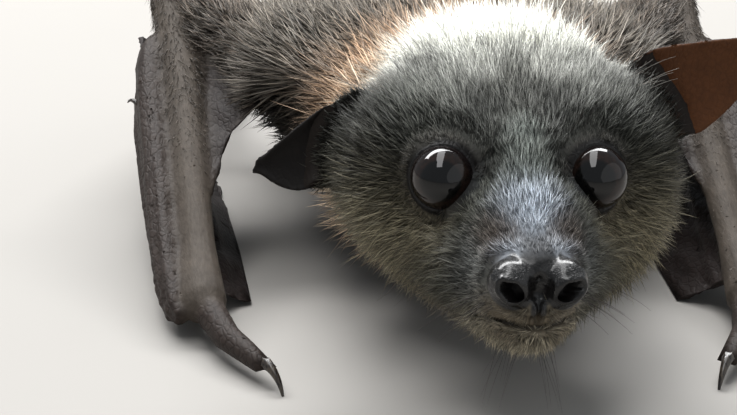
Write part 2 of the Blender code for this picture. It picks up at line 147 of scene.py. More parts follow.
def spread(values, edges, rounds):
    # evens out a value over the mesh, each point taking the mean of its neighbours
    values = values.reshape(len(values), -1).astype(float)
    ends = np.concatenate([edges, edges[:, ::-1]])
    count = np.maximum(np.bincount(ends[:, 0], minlength=len(values)), 1)[:, None]
    for _ in range(rounds):
        columns = [
            np.bincount(ends[:, 0], weights=values[ends[:, 1], k], minlength=len(values))
            for k in range(values.shape[1])
        ]
        values = np.stack(columns, 1) / count
    return values.squeeze()


# camera: the first thing, at the angle the face is seen from
camera = {
    "azimuth": -11.2, "elevation": 18, "roll": 2,  # degrees
    "distance": 300, "aimRight": -21.0, "aimUp": -5.5,  # millimetres, from between the eyes
    "lens": 104, "sensor": 36,  # millimetres
}


def setCamera():
    turn, rise = radians(camera["azimuth"]), radians(camera["elevation"])
    back = Vector((sin(turn) * cos(rise), -cos(turn) * cos(rise), sin(rise)))
    place = Vector(betweenEyes) + back * camera["distance"] * mm
    looking = (-back).to_track_quat("-Z", "Y").to_matrix()
    aim = Vector(betweenEyes) + looking @ Vector((camera["aimRight"], camera["aimUp"], 0)) * mm
    roll = Matrix.Rotation(radians(camera["roll"]), 3, "Z")
    turned = (aim - place).to_track_quat("-Z", "Y").to_matrix() @ roll
    bpy.ops.object.camera_add(location=place, rotation=turned.to_euler())
    made = bpy.context.object
    made.name = "camera"
    made.data.lens = camera["lens"]
    made.data.sensor_width = camera["sensor"]
    made.data.clip_start = 0.01
    bpy.context.scene.camera = made


# skin: one closed mesh through every node of flesh, lying under the coat
fleshNodes = ["head", "lower_jaw", "neck", "trunk"]
for limbPart in (
    "ear", "upper_arm", "forearm", "folded_fingers", "thumb", "fore_membrane", "side_membrane",
    "thigh", "shank", "foot",
):
    fleshNodes += [f"{limbPart}_{side}" for side in sides]

skin = {  # lengths in millimetres
    "swell": 0.32,  # joins the nodes over the gaps between them
    "voxel": 0.45,
    "smoothing": 4,
    "share": 0.13, "favour": 6,  # share of the faces kept, and how much more of them on the face
    "depth": {  # of the coat over the skin
        "neck": 6.5, "trunk": 6.5, "upper_arm": 2.2, "thigh": 2.4, "shank": 0.6, "forearm": 0.35,
        "folded_fingers": 0.05, "thumb": 0.1, "fore_membrane": 0.2, "side_membrane": 0.25, "foot": 0.15,
        "ear": 0.12,
    },
}


def partOf(nodeName):
    return nodeName.replace("_left", "").replace("_right", "")


def copyOfNodes(names, name):
    copies = []
    for nodeName in names:
        copied = nodes[nodeName].copy()
        copied.data = nodes[nodeName].data.copy()
        copied.parent = None
        for key in [key for key in copied.keys() if key.startswith("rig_")]:
            del copied[key]  # a copy is a new piece, so it loses the node's own marks
        bpy.context.scene.collection.objects.link(copied)
        copies.append(copied)
    bpy.ops.object.select_all(action="DESELECT")
    for copied in copies:
        copied.select_set(True)
    bpy.context.view_layer.objects.active = copies[0]
    if len(copies) > 1:
        bpy.ops.object.join()
    joined = bpy.context.object
    joined.name = joined.data.name = name
    bpy.ops.object.mode_set(mode="EDIT")
    bpy.ops.mesh.select_all(action="SELECT")
    bpy.ops.mesh.remove_doubles(threshold=0.00001)
    bpy.ops.object.mode_set(mode="OBJECT")
    joined.data.materials.clear()
    return joined


def treeOf(names):
    # some nodes as one search tree, and the number of the node that each of its faces belongs to
    corners, faces, owners = [], [], []
    for number, nodeName in enumerate(names):
        mesh = nodes[nodeName].data
        start = len(corners)
        corners += [vertex.co.copy() for vertex in mesh.vertices]
        faces += [[start + k for k in polygon.vertices] for polygon in mesh.polygons]
        owners += [number] * len(mesh.polygons)
    return BVHTree.FromPolygons(corners, faces), owners


def nearestParts(points):
    # the node of flesh that each point is nearest to
    tree, owners = treeOf(fleshNodes)
    return np.array([owners[tree.find_nearest(Vector(point))[2]] for point in points])


def earDistance(points):
    # how far each point is from the nearer ear, in millimetres
    tree, _ = treeOf(["ear_left", "ear_right"])
    return np.array([tree.find_nearest(Vector(point))[3] for point in points]) / mm


def headDepth(head):
    # how deep the coat is over the skin of the head
    x, f, u = np.abs(head[:, 0]), head[:, 1], head[:, 2]
    depth = 0.75 + 0 * f
    depth += 1.3 * smoothStep(6, -4, f)  # from the snout to the forehead
    depth += 2.2 * smoothStep(-4, -18, f)  # the crown and the neck
    depth += 1.2 * smoothStep(10, 20, x) * smoothStep(0, -10, u)  # the cheeks
    depth += 0.8 * smoothStep(-15, -20, u) * smoothStep(14, 4, f)  # the throat
    depth *= 0.3 + 0.7 * smoothStep(5.0, 11.0, eyeDistance(head))  # short hair round the eyes
    depth *= smoothStep(18.5, 14.5, f) * 0.9 + 0.1  # and none on the nose
    return depth


def keptShare(points):
    # how much of the fine mesh each place keeps: most on the face, some on ears, wings and feet
    head = toHead(points)
    keep = smoothStep(-36, -26, head[:, 1]) * (0.25 + 0.55 * smoothStep(-8, 6, head[:, 1]))
    keep *= (np.abs(head[:, 0]) < 45) & (points[:, 2] > 6 * mm)
    hands = (np.abs(points[:, 0]) > 36 * mm) & (points[:, 1] < 30 * mm)
    feet = points[:, 1] > 62 * mm
    ears = earDistance(points) < 1.2
    keep = np.maximum(keep, 0.5 * hands + 0.5 * feet)
    return np.maximum(keep, 0.8 * ears * (np.abs(points[:, 0]) > 21 * mm))


def makeSkin():
    made = copyOfNodes(fleshNodes + ["eye_left", "eye_right"], "skin")
    swell = made.modifiers.new("swell", "DISPLACE")
    swell.strength = skin["swell"] * mm
    swell.mid_level = 0
    whole = made.modifiers.new("whole", "REMESH")
    whole.mode = "VOXEL"
    whole.voxel_size = skin["voxel"] * mm
    even = made.modifiers.new("even", "SMOOTH")
    even.factor = 0.5
    even.iterations = skin["smoothing"]
    applyAll(made)
    report(f"skin joined, {len(made.data.polygons)} faces")
    keep = keptShare(pointsOf(made))
    group = made.vertex_groups.new(name="keep")
    for level in range(1, 11):  # in steps of a tenth
        chosen = np.nonzero((keep > (level - 0.5) / 10) & (keep <= (level + 0.5) / 10))[0]
        group.add(chosen.tolist(), level / 10, "REPLACE")
    thinner = made.modifiers.new("thinner", "DECIMATE")
    thinner.ratio = skin["share"]
    thinner.vertex_group = "keep"
    thinner.invert_vertex_group = True
    thinner.vertex_group_factor = skin["favour"]
    applyAll(made)
    report(f"skin thinned, {len(trianglesOf(made))} triangles")
    return made


def sinkSkin(obj):
    # lowers the skin by the depth of the coat over it
    points, edges = pointsOf(obj), edgesOf(obj)
    owners = nearestParts(points)
    head = toHead(points)
    depth = np.zeros(len(points))
    for number, nodeName in enumerate(fleshNodes):
        here = owners == number
        if nodeName in ("head", "lower_jaw"):
            depth[here] = headDepth(head[here])
        else:
            depth[here] = skin["depth"][partOf(nodeName)]
        if nodeName in ("trunk", "neck"):  # pressed flat under the belly
            depth[here] *= 0.25 + 0.75 * smoothStep(2, 16, points[here, 2] / mm)
    depth = spread(depth, edges, 14)
    normals = unit(spread(normalsOf(obj), edges, 4))
    points -= normals * (depth[:, None] + skin["swell"]) * mm
    loose = smoothStep(0.6, 2.5, depth)[:, None]
    points += loose * (spread(points, edges, 4) - points)
    setPoints(obj, points)
    report("skin lowered under the coat")


# face: lids, nose and mouth, in the head's own axes and millimetres
lids = {
    "lateral": 21, "upward": 20,  # degrees, the way the opening faces
    "opening": 79, "canthus": 11,  # degrees from that way to the lid's edge, and more at the corner
    "rim": 0.3, "slope": 0.04, "dish": 0.003,  # how far the lid stands off the ball
    "inside": 0.7,
}
nose = {
    "nostril": (4.0, 20.3, -8.0), "turn": 42, "rise": 0.32, "bore": 1.24, "deep": 3.1, "rim": 0.34,
    "line": 0.4, "lineWidth": 0.24, "valley": 0.34,  # the groove down the middle
    "swelling": 0.16, "besideLine": 0.24, "crease": 0.3,
    "lip": -14.1, "mouth": 0.6, "lipEdge": 0.12,
    "blend": 8,  # the higher, the tighter the soft shapes meet
}
noseForms = {  # the soft shapes that run together into the nose: place, then half sizes
    "bulbRight": ((-3.75, 17.4, -7.9), (3.15, 3.3, 3.2)),
    "bulbLeft": ((3.75, 17.4, -7.9), (3.15, 3.3, 3.2)),
    "roof": ((0, 14.2, -6.4), (3.1, 4.4, 2.8)),
    "bridge": ((0, 10.6, -5.8), (4.6, 6.2, 3.1)),
    "upperLip": ((0, 13.0, -11.2), (6.6, 6.6, 2.6)),
    "lowerLip": ((0, 12.0, -15.2), (5.6, 7.0, 2.6)),
    "muzzle": ((0, 7.6, -10.0), (8.6, 8.2, 9.0)),
}
fineness = {"nose": (0.24, 4), "lids": (0.36, 3)}  # longest edge, and how often the faces are cut


def gazeOf(side):
    # the way the lids open
    across, rise = radians(lids["lateral"]), radians(lids["upward"])
    return np.array((sides[side] * sin(across) * cos(rise), cos(across) * cos(rise), sin(rise)))


def eyeOf(side):
    # the middle of an eye, on the head's axes
    return np.array((sides[side] * eyeInHead["x"], eyeInHead["f"], eyeInHead["u"]))


def eyeDistance(head):
    # from the middle of the nearer eye
    return np.min([lengthOf(head - eyeOf(side))[:, 0] for side in sides], axis=0)


def refine(obj, wanted, edgeLength, rounds):
    # cuts the faces of a region until their edges are short enough
    for _ in range(rounds):
        points = pointsOf(obj)
        corners = trianglesOf(obj)
        centres = points[corners].mean(1)
        longest = longestEdges(points, corners)
        chosen = wanted(toHead(centres)) & (longest > edgeLength * mm)
        if not chosen.any():
            break
        activate(obj)
        bpy.context.tool_settings.mesh_select_mode = (False, False, True)
        bpy.ops.object.mode_set(mode="EDIT")
        bpy.ops.mesh.select_all(action="DESELECT")
        bpy.ops.object.mode_set(mode="OBJECT")
        obj.data.polygons.foreach_set("select", chosen)
        bpy.ops.object.mode_set(mode="EDIT")
        bpy.ops.mesh.subdivide(number_cuts=1, quadcorner="INNERVERT")
        bpy.ops.mesh.select_all(action="SELECT")
        bpy.ops.mesh.quads_convert_to_tris(quad_method="SHORTEST_DIAGONAL")
        bpy.ops.object.mode_set(mode="OBJECT")


def longestEdges(points, corners):
    a, b, c = points[corners[:, 0]], points[corners[:, 1]], points[corners[:, 2]]
    return np.max([lengthOf(a - b), lengthOf(b - c), lengthOf(c - a)], axis=0)[:, 0]


def nearNose(head):
    return (head[:, 1] > 14) & (head[:, 2] > -16.5)


def nearLids(head):
    close = np.zeros(len(head), bool)
    for side in sides:
        _, distance, angle = angleFromGaze(side, head)
        close |= (distance < 7.5) & (angle > lids["opening"] - 10) & (angle < lids["opening"] + 24)
    return close


def angleFromGaze(side, head):
    # how far each point is from an eye's middle, and how far round from the way the lids open
    away = head - eyeOf(side)
    distance = lengthOf(away)[:, 0]
    angle = np.degrees(np.arccos(np.clip(away @ gazeOf(side) / np.maximum(distance, 1e-9), -1, 1)))
    return away, distance, angle


def openingAngle(side, away):
    # how far the lids stand open round the eye: a circle with a small corner towards the nose
    gaze = gazeOf(side)
    across = unit(np.cross((0, 0, 1), gaze))
    upward = np.cross(gaze, across)
    corner = unit(-sides[side] * across * 0.9 - upward * 0.45)
    flat = unit(away - (away @ gaze)[:, None] * gaze)
    towardsCorner = np.clip(flat @ corner, 0, 1)
    return lids["opening"] + lids["canthus"] * towardsCorner**2.5


def shapeLids(head):
    for side in sides:
        away = head - eyeOf(side)
        distance = lengthOf(away)[:, 0]
        direction = away / np.maximum(distance, 1e-9)[:, None]
        angle = np.degrees(np.arccos(np.clip(direction @ gazeOf(side), -1, 1)))
        past = angle - openingAngle(side, away)
        reach = (distance < 10) & (past < 60)
        rim = eyeRadius + lids["rim"]
        highest = rim + lids["slope"] * np.maximum(past, 0) + lids["dish"] * np.maximum(past, 0) ** 2
        lowest = rim - 0.25 * smoothStep(8, 22, past) - 3.5 * smoothStep(22, 60, past)
        lid = np.clip(distance, lowest, np.maximum(highest, lowest))
        fade = smoothStep(60, 34, past)
        fade = fade * np.maximum(smoothStep(10, 7.8, distance), smoothStep(16, 8, past))
        shaped = distance + (lid - distance) * fade
        inner = eyeRadius - lids["inside"]
        shaped = inner + (shaped - inner) * smoothStep(-4.0, 0.5, past)
        distance = np.where(reach, shaped, distance)
        head = np.where(reach[:, None], eyeOf(side) + direction * distance[:, None], head)
    return head


def bump(value, width):
    # one at nothing, fading to either side
    return np.exp(-((value / width) ** 2))


def aroundNostril(head, side):
    # how far each point is from the middle line of a nostril, which ends in a slit to the side,
    # and how wide the nostril is there
    turn = radians(nose["turn"])
    axis = unit(np.array((side * sin(turn), cos(turn), nose["rise"])))
    away = head - np.array((side * nose["nostril"][0], nose["nostril"][1], nose["nostril"][2]))
    across = away - (away @ axis)[:, None] * axis
    across[:, 2] *= 0.85
    slit = unit(np.array((side * cos(turn), -sin(turn), 0.42))[None])[0]
    back = np.clip(across @ slit, 0, 1.0)
    ring = lengthOf(across - back[:, None] * slit * 0.9)[:, 0]
    return away, axis, ring, nose["bore"] * (1 - 0.4 * back)


def noseField(head):
    # more than nothing inside the nose, nothing on its surface
    fields = []
    for place, size in noseForms.values():
        fields.append(1 - lengthOf((head - np.array(place)) / np.array(size))[:, 0])
    return np.log(sum(np.exp(nose["blend"] * field) for field in fields)) / nose["blend"]


def ontoNose(head):
    # moves the skin of the muzzle's end onto the nose's soft shapes
    share = smoothStep(13.0, 16.5, head[:, 1]) * smoothStep(-18, -16.5, head[:, 2])
    moved = head.copy()
    for _ in range(5):  # short steps along the field's slope
        here = noseField(moved)
        slope = np.stack([(noseField(moved + step) - here) / 0.05 for step in np.eye(3) * 0.05], -1)
        step = -here[:, None] * slope / np.maximum((slope**2).sum(-1, keepdims=True), 0.01)
        moved += step * np.minimum(1, 0.6 / np.maximum(lengthOf(step), 1e-9)) * (share > 0)[:, None]
    return head + (moved - head) * share[:, None]


def padOf(head):
    # the bare nose: a bulb round each nostril, the valley between them and the line down to the lip
    x, f, u = np.abs(head[:, 0]), head[:, 1], head[:, 2]
    bulbs = smoothStep(1.12, 1.0, np.sqrt(((x - 3.8) / 3.1) ** 2 + ((u + 7.9) / 3.35) ** 2))
    between = smoothStep(3.4, 2.4, x + 0.7 * (u + 5)) * smoothStep(-10.6, -9.8, u) * smoothStep(-3.7, -4.8, u)
    line = smoothStep(1.3, 0.9, x) * smoothStep(-9, -9.8, u) * smoothStep(nose["lip"] - 0.4, nose["lip"], u)
    return np.maximum(bulbs, np.maximum(between, line)) * smoothStep(14.4, 15.8, f)


def mouthLine(head):
    return nose["lip"] - 0.1 - 0.22 * np.maximum(17 - head[:, 1], 0)


def shapeNose(head, normals):
    x, f, u = head[:, 0], head[:, 1], head[:, 2]
    front = smoothStep(16.0, 18.5, f)
    aside = np.abs(x)
    push = np.zeros(len(head))
    # the groove down to the lip, and the valley between the nostrils
    line = smoothStep(-5.5, -7.5, u) * smoothStep(nose["lip"] - 0.3, nose["lip"] + 0.5, u)
    push -= nose["line"] * bump(x, nose["lineWidth"]) * line * front
    push -= nose["valley"] * bump(x, 1.25) * smoothStep(-5.6, -7.4, u) * smoothStep(-11.2, -9.2, u) * front
    # the swellings beside them
    push += nose["swelling"] * bump(aside - 1.7, 0.34) * bump(u + 8.4, 1.4) * front
    lower = smoothStep(-9.4, -10.8, u) * smoothStep(-14.0, -13.2, u)
    push += nose["besideLine"] * bump(aside - 0.62, 0.3) * lower * front
    # the crease under the nose
    crease = nose["crease"] * bump(u - (-11.4 + 0.05 * x**2), 0.36)
    push -= crease * smoothStep(0.9, 1.6, aside) * smoothStep(6.8, 5.4, aside) * front
    # the mouth, with the upper lip's edge over it
    mouth = mouthLine(head)
    gape = smoothStep(7, 13, f) * smoothStep(-10.5, -12.5, u)
    push -= nose["mouth"] * bump(u - mouth, 0.34) * gape
    push += nose["lipEdge"] * bump(u - mouth - 0.8, 0.5) * gape
    head = head + normals * push[:, None]
    for side in sides.values():
        away, axis, ring, wide = aroundNostril(head, side)
        near = smoothStep(-5.5, -3.5, away @ axis)
        head = head - axis * (nose["deep"] * smoothStep(1.05, 0.62, ring / wide) * near)[:, None]
        head = head + axis * (nose["rim"] * bump(ring - wide - 0.45, 0.36) * near)[:, None]
    return head


def shapeFace(obj):
    refine(obj, nearNose, *fineness["nose"])
    refine(obj, nearLids, *fineness["lids"])
    edges = edgesOf(obj)
    head = toHead(pointsOf(obj))
    region = (nearNose(head) | nearLids(head))[:, None]
    head = np.where(region, spread(head, edges, 2), head)
    head = shapeLids(head)
    core = smoothStep(14.5, 16, head[:, 1]) * smoothStep(-15.5, -13.5, head[:, 2])
    for _ in range(3):  # closes the nostrils and the groove, which are shaped again further down
        head = head + (spread(head, edges, 12) - head) * core[:, None]
        head = ontoNose(head)
    softened = spread(head, edges, 2)
    head = np.where(nearNose(head)[:, None], softened, head)
    setPoints(obj, fromHead(head))
    normals = unit(spread(normalsOf(obj), edges, 3))
    normals = np.stack([normals[:, 0], normals @ headForward, normals @ headUp], -1)
    head = shapeNose(toHead(pointsOf(obj)), normals)
    setPoints(obj, fromHead(head))
    report(f"face shaped, {len(trianglesOf(obj))} triangles in the skin")


setCamera()
skinObject = makeSkin()
sinkSkin(skinObject)
shapeFace(skinObject)


# markings: the same colours for the skin and for the coat over it
tones = {  # screen colours of 0 to 255
    # temple: the fur's dark grey made darker by painted shadow, the shade under the ears
    "face": (76, 78, 72), "crown": (244, 244, 236), "forehead": (46, 47, 41), "temple": (27, 27, 23),
    "brow": (68, 70, 65), "innerBrow": (38, 39, 37), "eyeRing": (46, 39, 36), "streak": (110, 116, 111),
    # bridge: painted sheen, a bluish-white reflection of the light over the hair's grey
    "bridge": (188, 196, 206), "noseTop": (74, 75, 78), "snout": (74, 64, 56), "muzzle": (118, 120, 118),
    "cheek": (146, 137, 113), "lip": (104, 94, 79), "chin": (206, 196, 172),
    "mantle": (176, 153, 136), "nape": (206, 188, 164), "collar": (150, 122, 97),
    "back": (104, 98, 90), "belly": (132, 116, 98), "limb": (84, 76, 68),
    # mouth: painted shade in the crease between the lips
    "nosePad": (11, 10, 10), "lid": (11, 9, 8), "mouth": (24, 17, 17),
    # the ears are one leathery brown painted as a lit and a shaded copy: painted light shining through the
    # left ear, painted shade over the right
    "earRight": (12, 8, 6), "earLeft": (80, 47, 24), "earBack": (26, 20, 16),
    "wing": (38, 31, 29), "digit": (47, 39, 35), "foot": (50, 41, 37),
}
markings = {  # on the head: place (across, forwards, up), reach, tone, weight
    "base": ((12, -8, -8), 30, "face", 0.3),
    "crown": ((0, -20.0, 15.2), 10, "crown", 6.0),
    "crownSide": ((12, -24, 12), 7, "crown", 2.2),
    "forehead": ((0, -7, 11), 5.2, "forehead", 2.4),
    "brow": ((10, -8, 10), 6, "brow", 2.2),
    "browSide": ((15.5, -3, 7), 3.6, "face", 1.8),
    "innerBrow": ((4.2, -3, 8), 3.0, "innerBrow", 3.0),
    "streak": ((0, 1, 5.0), 1.8, "streak", 2.4),
    "streakLow": ((0, 6, 2.4), 2.2, "streak", 1.6),
    "streakTop": ((0, -6.5, 10.8), 2.6, "forehead", 2.2),
    # painted sheen down the bridge, in the bridge tone
    "bridge": ((0, 10.4, -1.0), 3.0, "bridge", 2.4),
    "innerEye": ((5.5, 3.4, 1.4), 2.5, "innerBrow", 2.8),
    "noseTop": ((0, 15.2, -3.6), 1.9, "noseTop", 3.0),
    # painted sheen beside the nose, in the bridge tone
    "besideNose": ((3.6, 14.6, -5), 1.6, "bridge", 2.2),
    "besideBridge": ((5.5, 5, -1), 3.2, "face", 1.4),
    "snout": ((4.6, 12.6, -3.8), 2.3, "snout", 4.4),
    "muzzle": ((8.5, 12, -9), 4.5, "muzzle", 1.4),
    # painted shadow under the ear, in the temple tone
    "temple": ((22, -12, 4), 8, "temple", 3.4),
    "foreheadSide": ((12, -15, 11), 4.5, "temple", 1.4),
    "cheek": ((18, -6, -12), 9, "cheek", 1.2),
    "underEye": ((12, 3, -8), 5, "cheek", 0.9),
    "jaw": ((13.4, 5, -13.5), 4.8, "face", 1.9),
    "lip": ((5, 17, -13), 4, "lip", 1.6),
    "chin": ((0, 12, -19), 6, "chin", 1.2),
    "throat": ((0, -8, -25), 12, "belly", 1.0),
    "nape": ((15, -31, 8), 7, "nape", 1.6),
    "napeMiddle": ((0, -36, 8), 7, "nape", 2.0),
}


def blendOf(table, place):
    # each entry's share at a place, by how near it is: entries are place, reach, anything, weight
    shares = {}
    for key, (at, reach, _, weight) in table.items():
        away = place - np.array(at)
        shares[key] = weight * np.exp(-(away**2).sum(-1) / reach**2)
    total = sum(shares.values()) + 1e-9
    return {key: share / total for key, share in shares.items()}


def toneOf(name):
    return np.array(linear(*tones[name]))


def towards(colour, name, share):
    # a colour moved towards a tone
    share = np.asarray(share)
    return colour + (toneOf(name) - colour) * (share[:, None] if share.ndim == 1 else share)


def folded(head):
    # both halves of the head as one
    return np.stack([np.abs(head[:, 0]), head[:, 1], head[:, 2]], -1)


def partsOf(owners):
    # the names of the parts, without their sides
    return np.array([partOf(name) for name in fleshNodes])[owners]


def markingAt(points, owners):
    # the coat's colour over any point of the skin
    head = toHead(points)
    shares = blendOf(markings, folded(head))
    onHead = sum(share[:, None] * toneOf(markings[key][2]) for key, share in shares.items())
    onHead = towards(onHead, "eyeRing", 0.6 * smoothStep(7.4, 5.0, eyeDistance(head)))
    middle = smoothStep(24, 11, np.abs(head[:, 0]))
    spine, height = points[:, 1] / mm, points[:, 2] / mm  # along the body, and over the floor
    onBody = np.tile(toneOf("nape"), (len(points), 1))
    onBody = towards(onBody, "crown", 0.4 * middle * smoothStep(-42, -54, spine))
    onBody = towards(onBody, "collar", smoothStep(-54, -36, spine))
    onBody = towards(onBody, "back", smoothStep(-40, -16, spine))
    onBody = towards(onBody, "belly", 0.7 * smoothStep(20, 7, height))
    rear = smoothStep(-27, -36, head[:, 1]) * (1 - 0.72 * middle)
    onHead = towards(onHead, "mantle", rear)
    onLimb = np.tile(toneOf("limb"), (len(points), 1))
    parts = partsOf(owners)
    onHead = np.where((parts == "ear")[:, None], onHead * 0.5, onHead)
    isHead = np.isin(parts, ["head", "lower_jaw", "ear"])[:, None]
    isBody = np.isin(parts, ["neck", "trunk"])[:, None]
    return np.where(isHead, onHead, np.where(isBody, onBody, onLimb))


# coat: closed spindles, one or two bends each, that follow the lie of the hair
lay = {  # on the head: place, reach, (length, width and lift of a tuft, how many stand on 1 mm2), weight
    "noseTop": ((0, 15, -3), 4.0, (1.4, 0.09, 14, 48), 1),
    "snout": ((6, 12, -7), 4.5, (1.9, 0.095, 18, 40), 1),
    "bridge": ((0, 6, 2), 5, (3.0, 0.10, 19, 36), 1),
    "betweenEyes": ((0, -1, 7), 5, (3.4, 0.11, 22, 33), 1),
    "eyeRing": ((10.2, 1, 0), 5.5, (1.8, 0.10, 18, 38), 1),
    "brow": ((9, -8, 10), 7, (4.4, 0.12, 26, 26), 1),
    "crown": ((0, -22, 15), 10, (8.6, 0.15, 48, 14), 1),
    "temple": ((19, -14, 3), 9, (5.4, 0.135, 28, 18), 1),
    "cheek": ((17, -5, -11), 9, (5.8, 0.135, 30, 18), 1),
    "jowl": ((11, 4, -12), 5, (3.6, 0.115, 26, 28), 1),
    "lip": ((5, 16.5, -13), 3.5, (1.2, 0.09, 20, 40), 1),
    "chin": ((0, 14, -18), 5, (2.9, 0.11, 32, 28), 1),
    "throat": ((0, -8, -25), 12, (6.0, 0.17, 28, 9), 1),
}
bodyLay = {  # length, width, lift, tufts on 1 mm2
    "neck": (9.0, 0.25, 28, 8), "trunk": (8.8, 0.30, 25, 5.4), "upper_arm": (4.6, 0.22, 24, 6.5),
    "thigh": (5.0, 0.24, 24, 6.5), "shank": (2.2, 0.17, 20, 6), "forearm": (1.3, 0.11, 12, 3),
    "ear": (2.6, 0.07, 16, 12), "foot": (1.2, 0.10, 18, 2),
}
coat = {  # lengths in millimetres, turns in degrees
    "piece": 190000, "seed": 5,  # triangles in a piece at most, and the seed of the roots
    "jitterTurn": 15, "jitterLift": 8, "jitterLength": 0.18,
    "guard": 0.05,  # share of the tufts that are longer, thinner and stand out more
    "guardLength": 1.25, "guardWidth": 0.75, "guardLift": 6,
    "locks": ((1.5, 11, 0.6), (4.5, 12, 0.4)),  # spacing, seed and share of the waves that gather tufts
    "clump": 0.34, "sink": 0.35,
    "rise": 16, "droop": 30,  # a tuft stands up this much more at its root, and less towards its tip
    "taper": 0.35, "bentFrom": 5.0,  # tufts from this length on have two rings
    "overFloor": 0.15, "patch": 0.003,  # the patch is a share of the unwrap
}


def flowOnHead(head):
    # the way the hair lies on the head
    x, f, u = head[:, 0], head[:, 1], head[:, 2]
    flow = np.zeros_like(head)
    flow[:, 1] = -1  # back from the nose
    outward = np.stack([x, 0 * x, u + 6], -1)
    outward = outward / np.maximum(lengthOf(outward), 1)
    flow += outward * (0.15 + 0.4 * smoothStep(6, -10, f))[:, None]
    flow[:, 2] -= 0.75 * smoothStep(8, 16, np.abs(x)) * smoothStep(4, -8, u)  # down over the cheeks
    flow[:, 2] -= 0.5 * smoothStep(-13, -17, u)  # and off the lower jaw
    flow[:, 2] -= 1.6 * smoothStep(-12.9, -14.4, u) * smoothStep(8, 15, f)  # most at the chin
    lips = smoothStep(-9, -11.5, u) * smoothStep(14, 17, f)
    flow[:, 0] += 1.2 * np.clip(x / 3, -1, 1) * lips
    flow[:, 2] -= 0.5 * lips
    for side in sides:  # away from the eyes
        away = head - eyeOf(side)
        distance = lengthOf(away)
        flow += away / distance * 1.3 * np.exp(-(((distance - eyeRadius) / 3.2) ** 2))
    return unit(turnFromHead(flow))


def endsOf(name):
    # a limb's two ends, from its own box
    side = sides["left" if name.endswith("left") else "right"]
    low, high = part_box(name)
    inner, outer = (low.x, high.x) if side > 0 else (high.x, low.x)
    part = partOf(name)
    if part == "forearm":
        return Vector((outer, high.y, high.z)), Vector((inner, low.y, low.z))
    if part == "shank":
        return Vector((outer, low.y, high.z)), Vector((inner, high.y, low.z))
    if part == "ear":
        return Vector((inner, high.y, low.z)), Vector((outer, low.y, high.z))
    if part == "foot":
        return Vector((inner, low.y, high.z)), Vector((outer, high.y, low.z))
    return Vector((inner, low.y, low.z)), Vector((outer, high.y, high.z))


def flowOnBody(points, owners):
    # back and down over the body, and along each limb
    flow = np.tile(np.array((0.0, 1.0, -0.22)), (len(points), 1))
    flow[:, 0] += 0.012 * points[:, 0] / mm
    for number, name in enumerate(fleshNodes):
        if partOf(name) in bodyLay and partOf(name) not in ("neck", "trunk"):
            start, end = endsOf(name)
            flow[owners == number] = np.array((end - start).normalized()) + np.array((0, 0.25, -0.25))
    return unit(flow)


def waves(points, spacing, seed):
    # a smooth slope that tufts lean down, which gathers them into locks
    chance = np.random.default_rng(seed)
    slope = np.zeros_like(points)
    for _ in range(9):
        heading = unit(chance.normal(size=3)[None])[0]
        number = 2 * pi / (spacing * mm * chance.uniform(0.7, 1.4))
        slope += heading * np.cos(points @ heading * number + chance.uniform(0, 2 * pi))[:, None]
    return slope / 3


def scatter(obj, triangles, perSquare, seed):
    # roots spread over the skin, more where the coat is denser
    points, smooth = pointsOf(obj), normalsOf(obj)
    a, b, c = (points[triangles[:, k]] for k in range(3))
    wanted = lengthOf(np.cross(b - a, c - a))[:, 0] / 2 / mm**2 * perSquare
    chance = np.random.default_rng(seed)
    number = np.floor(wanted + chance.uniform(size=len(wanted))).astype(int)
    picked = np.repeat(np.arange(len(triangles)), number)
    first, second = chance.uniform(size=len(picked)), chance.uniform(size=len(picked))
    over = first + second > 1
    first[over], second[over] = 1 - first[over], 1 - second[over]
    shares = np.stack([1 - first - second, first, second], -1)[:, :, None]
    roots = (points[triangles[picked]] * shares).sum(1)
    return roots, unit((smooth[triangles[picked]] * shares).sum(1)), picked


def spindlePath(roots, normals, flow, size, rings, chance):
    # the points a tuft passes through, from under the skin to its tip, and how wide it is
    count = len(roots)
    length, width, lift = size[:, 0], size[:, 1], size[:, 2]
    flow = unit(flow - (flow * normals).sum(1, keepdims=True) * normals)
    across = np.cross(normals, flow)
    turn = np.radians(coat["jitterTurn"] * np.clip(chance.normal(size=count), -2, 2))[:, None]
    flow, across = flow * np.cos(turn) + across * np.sin(turn), across * np.cos(turn) - flow * np.sin(turn)
    guard = chance.uniform(size=count) < coat["guard"]
    length = length * np.clip(chance.normal(1, coat["jitterLength"], count), 0.5, 1.35)
    length = length * np.where(guard, coat["guardLength"], 1)
    width = width * np.where(guard, coat["guardWidth"], chance.uniform(0.7, 1.25, count))
    lift = lift + coat["jitterLift"] * np.clip(chance.normal(size=count), -2, 1.5)
    lift = lift + np.where(guard, coat["guardLift"], 0)
    gather = sum(waves(roots, spacing, seed) * share for spacing, seed, share in coat["locks"])
    gather = gather - (gather * normals).sum(1, keepdims=True) * normals
    marks = {1: (0, 0.4, 1), 2: (0, 0.3, 0.68, 1)}[rings]
    centre = roots - normals * coat["sink"] * mm
    path = [centre]
    for k in range(rings + 1):
        lean = lift + coat["rise"] - coat["droop"] * (marks[k] + marks[k + 1]) / 2
        lean = np.radians(np.clip(lean, 3, 80))[:, None]
        heading = flow * np.cos(lean) + normals * np.sin(lean)
        heading = unit(heading + gather * coat["clump"] * (0.4 + 1.4 * marks[k + 1]))
        centre = centre + heading * (length * (marks[k + 1] - marks[k]) * mm)[:, None]
        path.append(centre)
    return path, across, width, marks


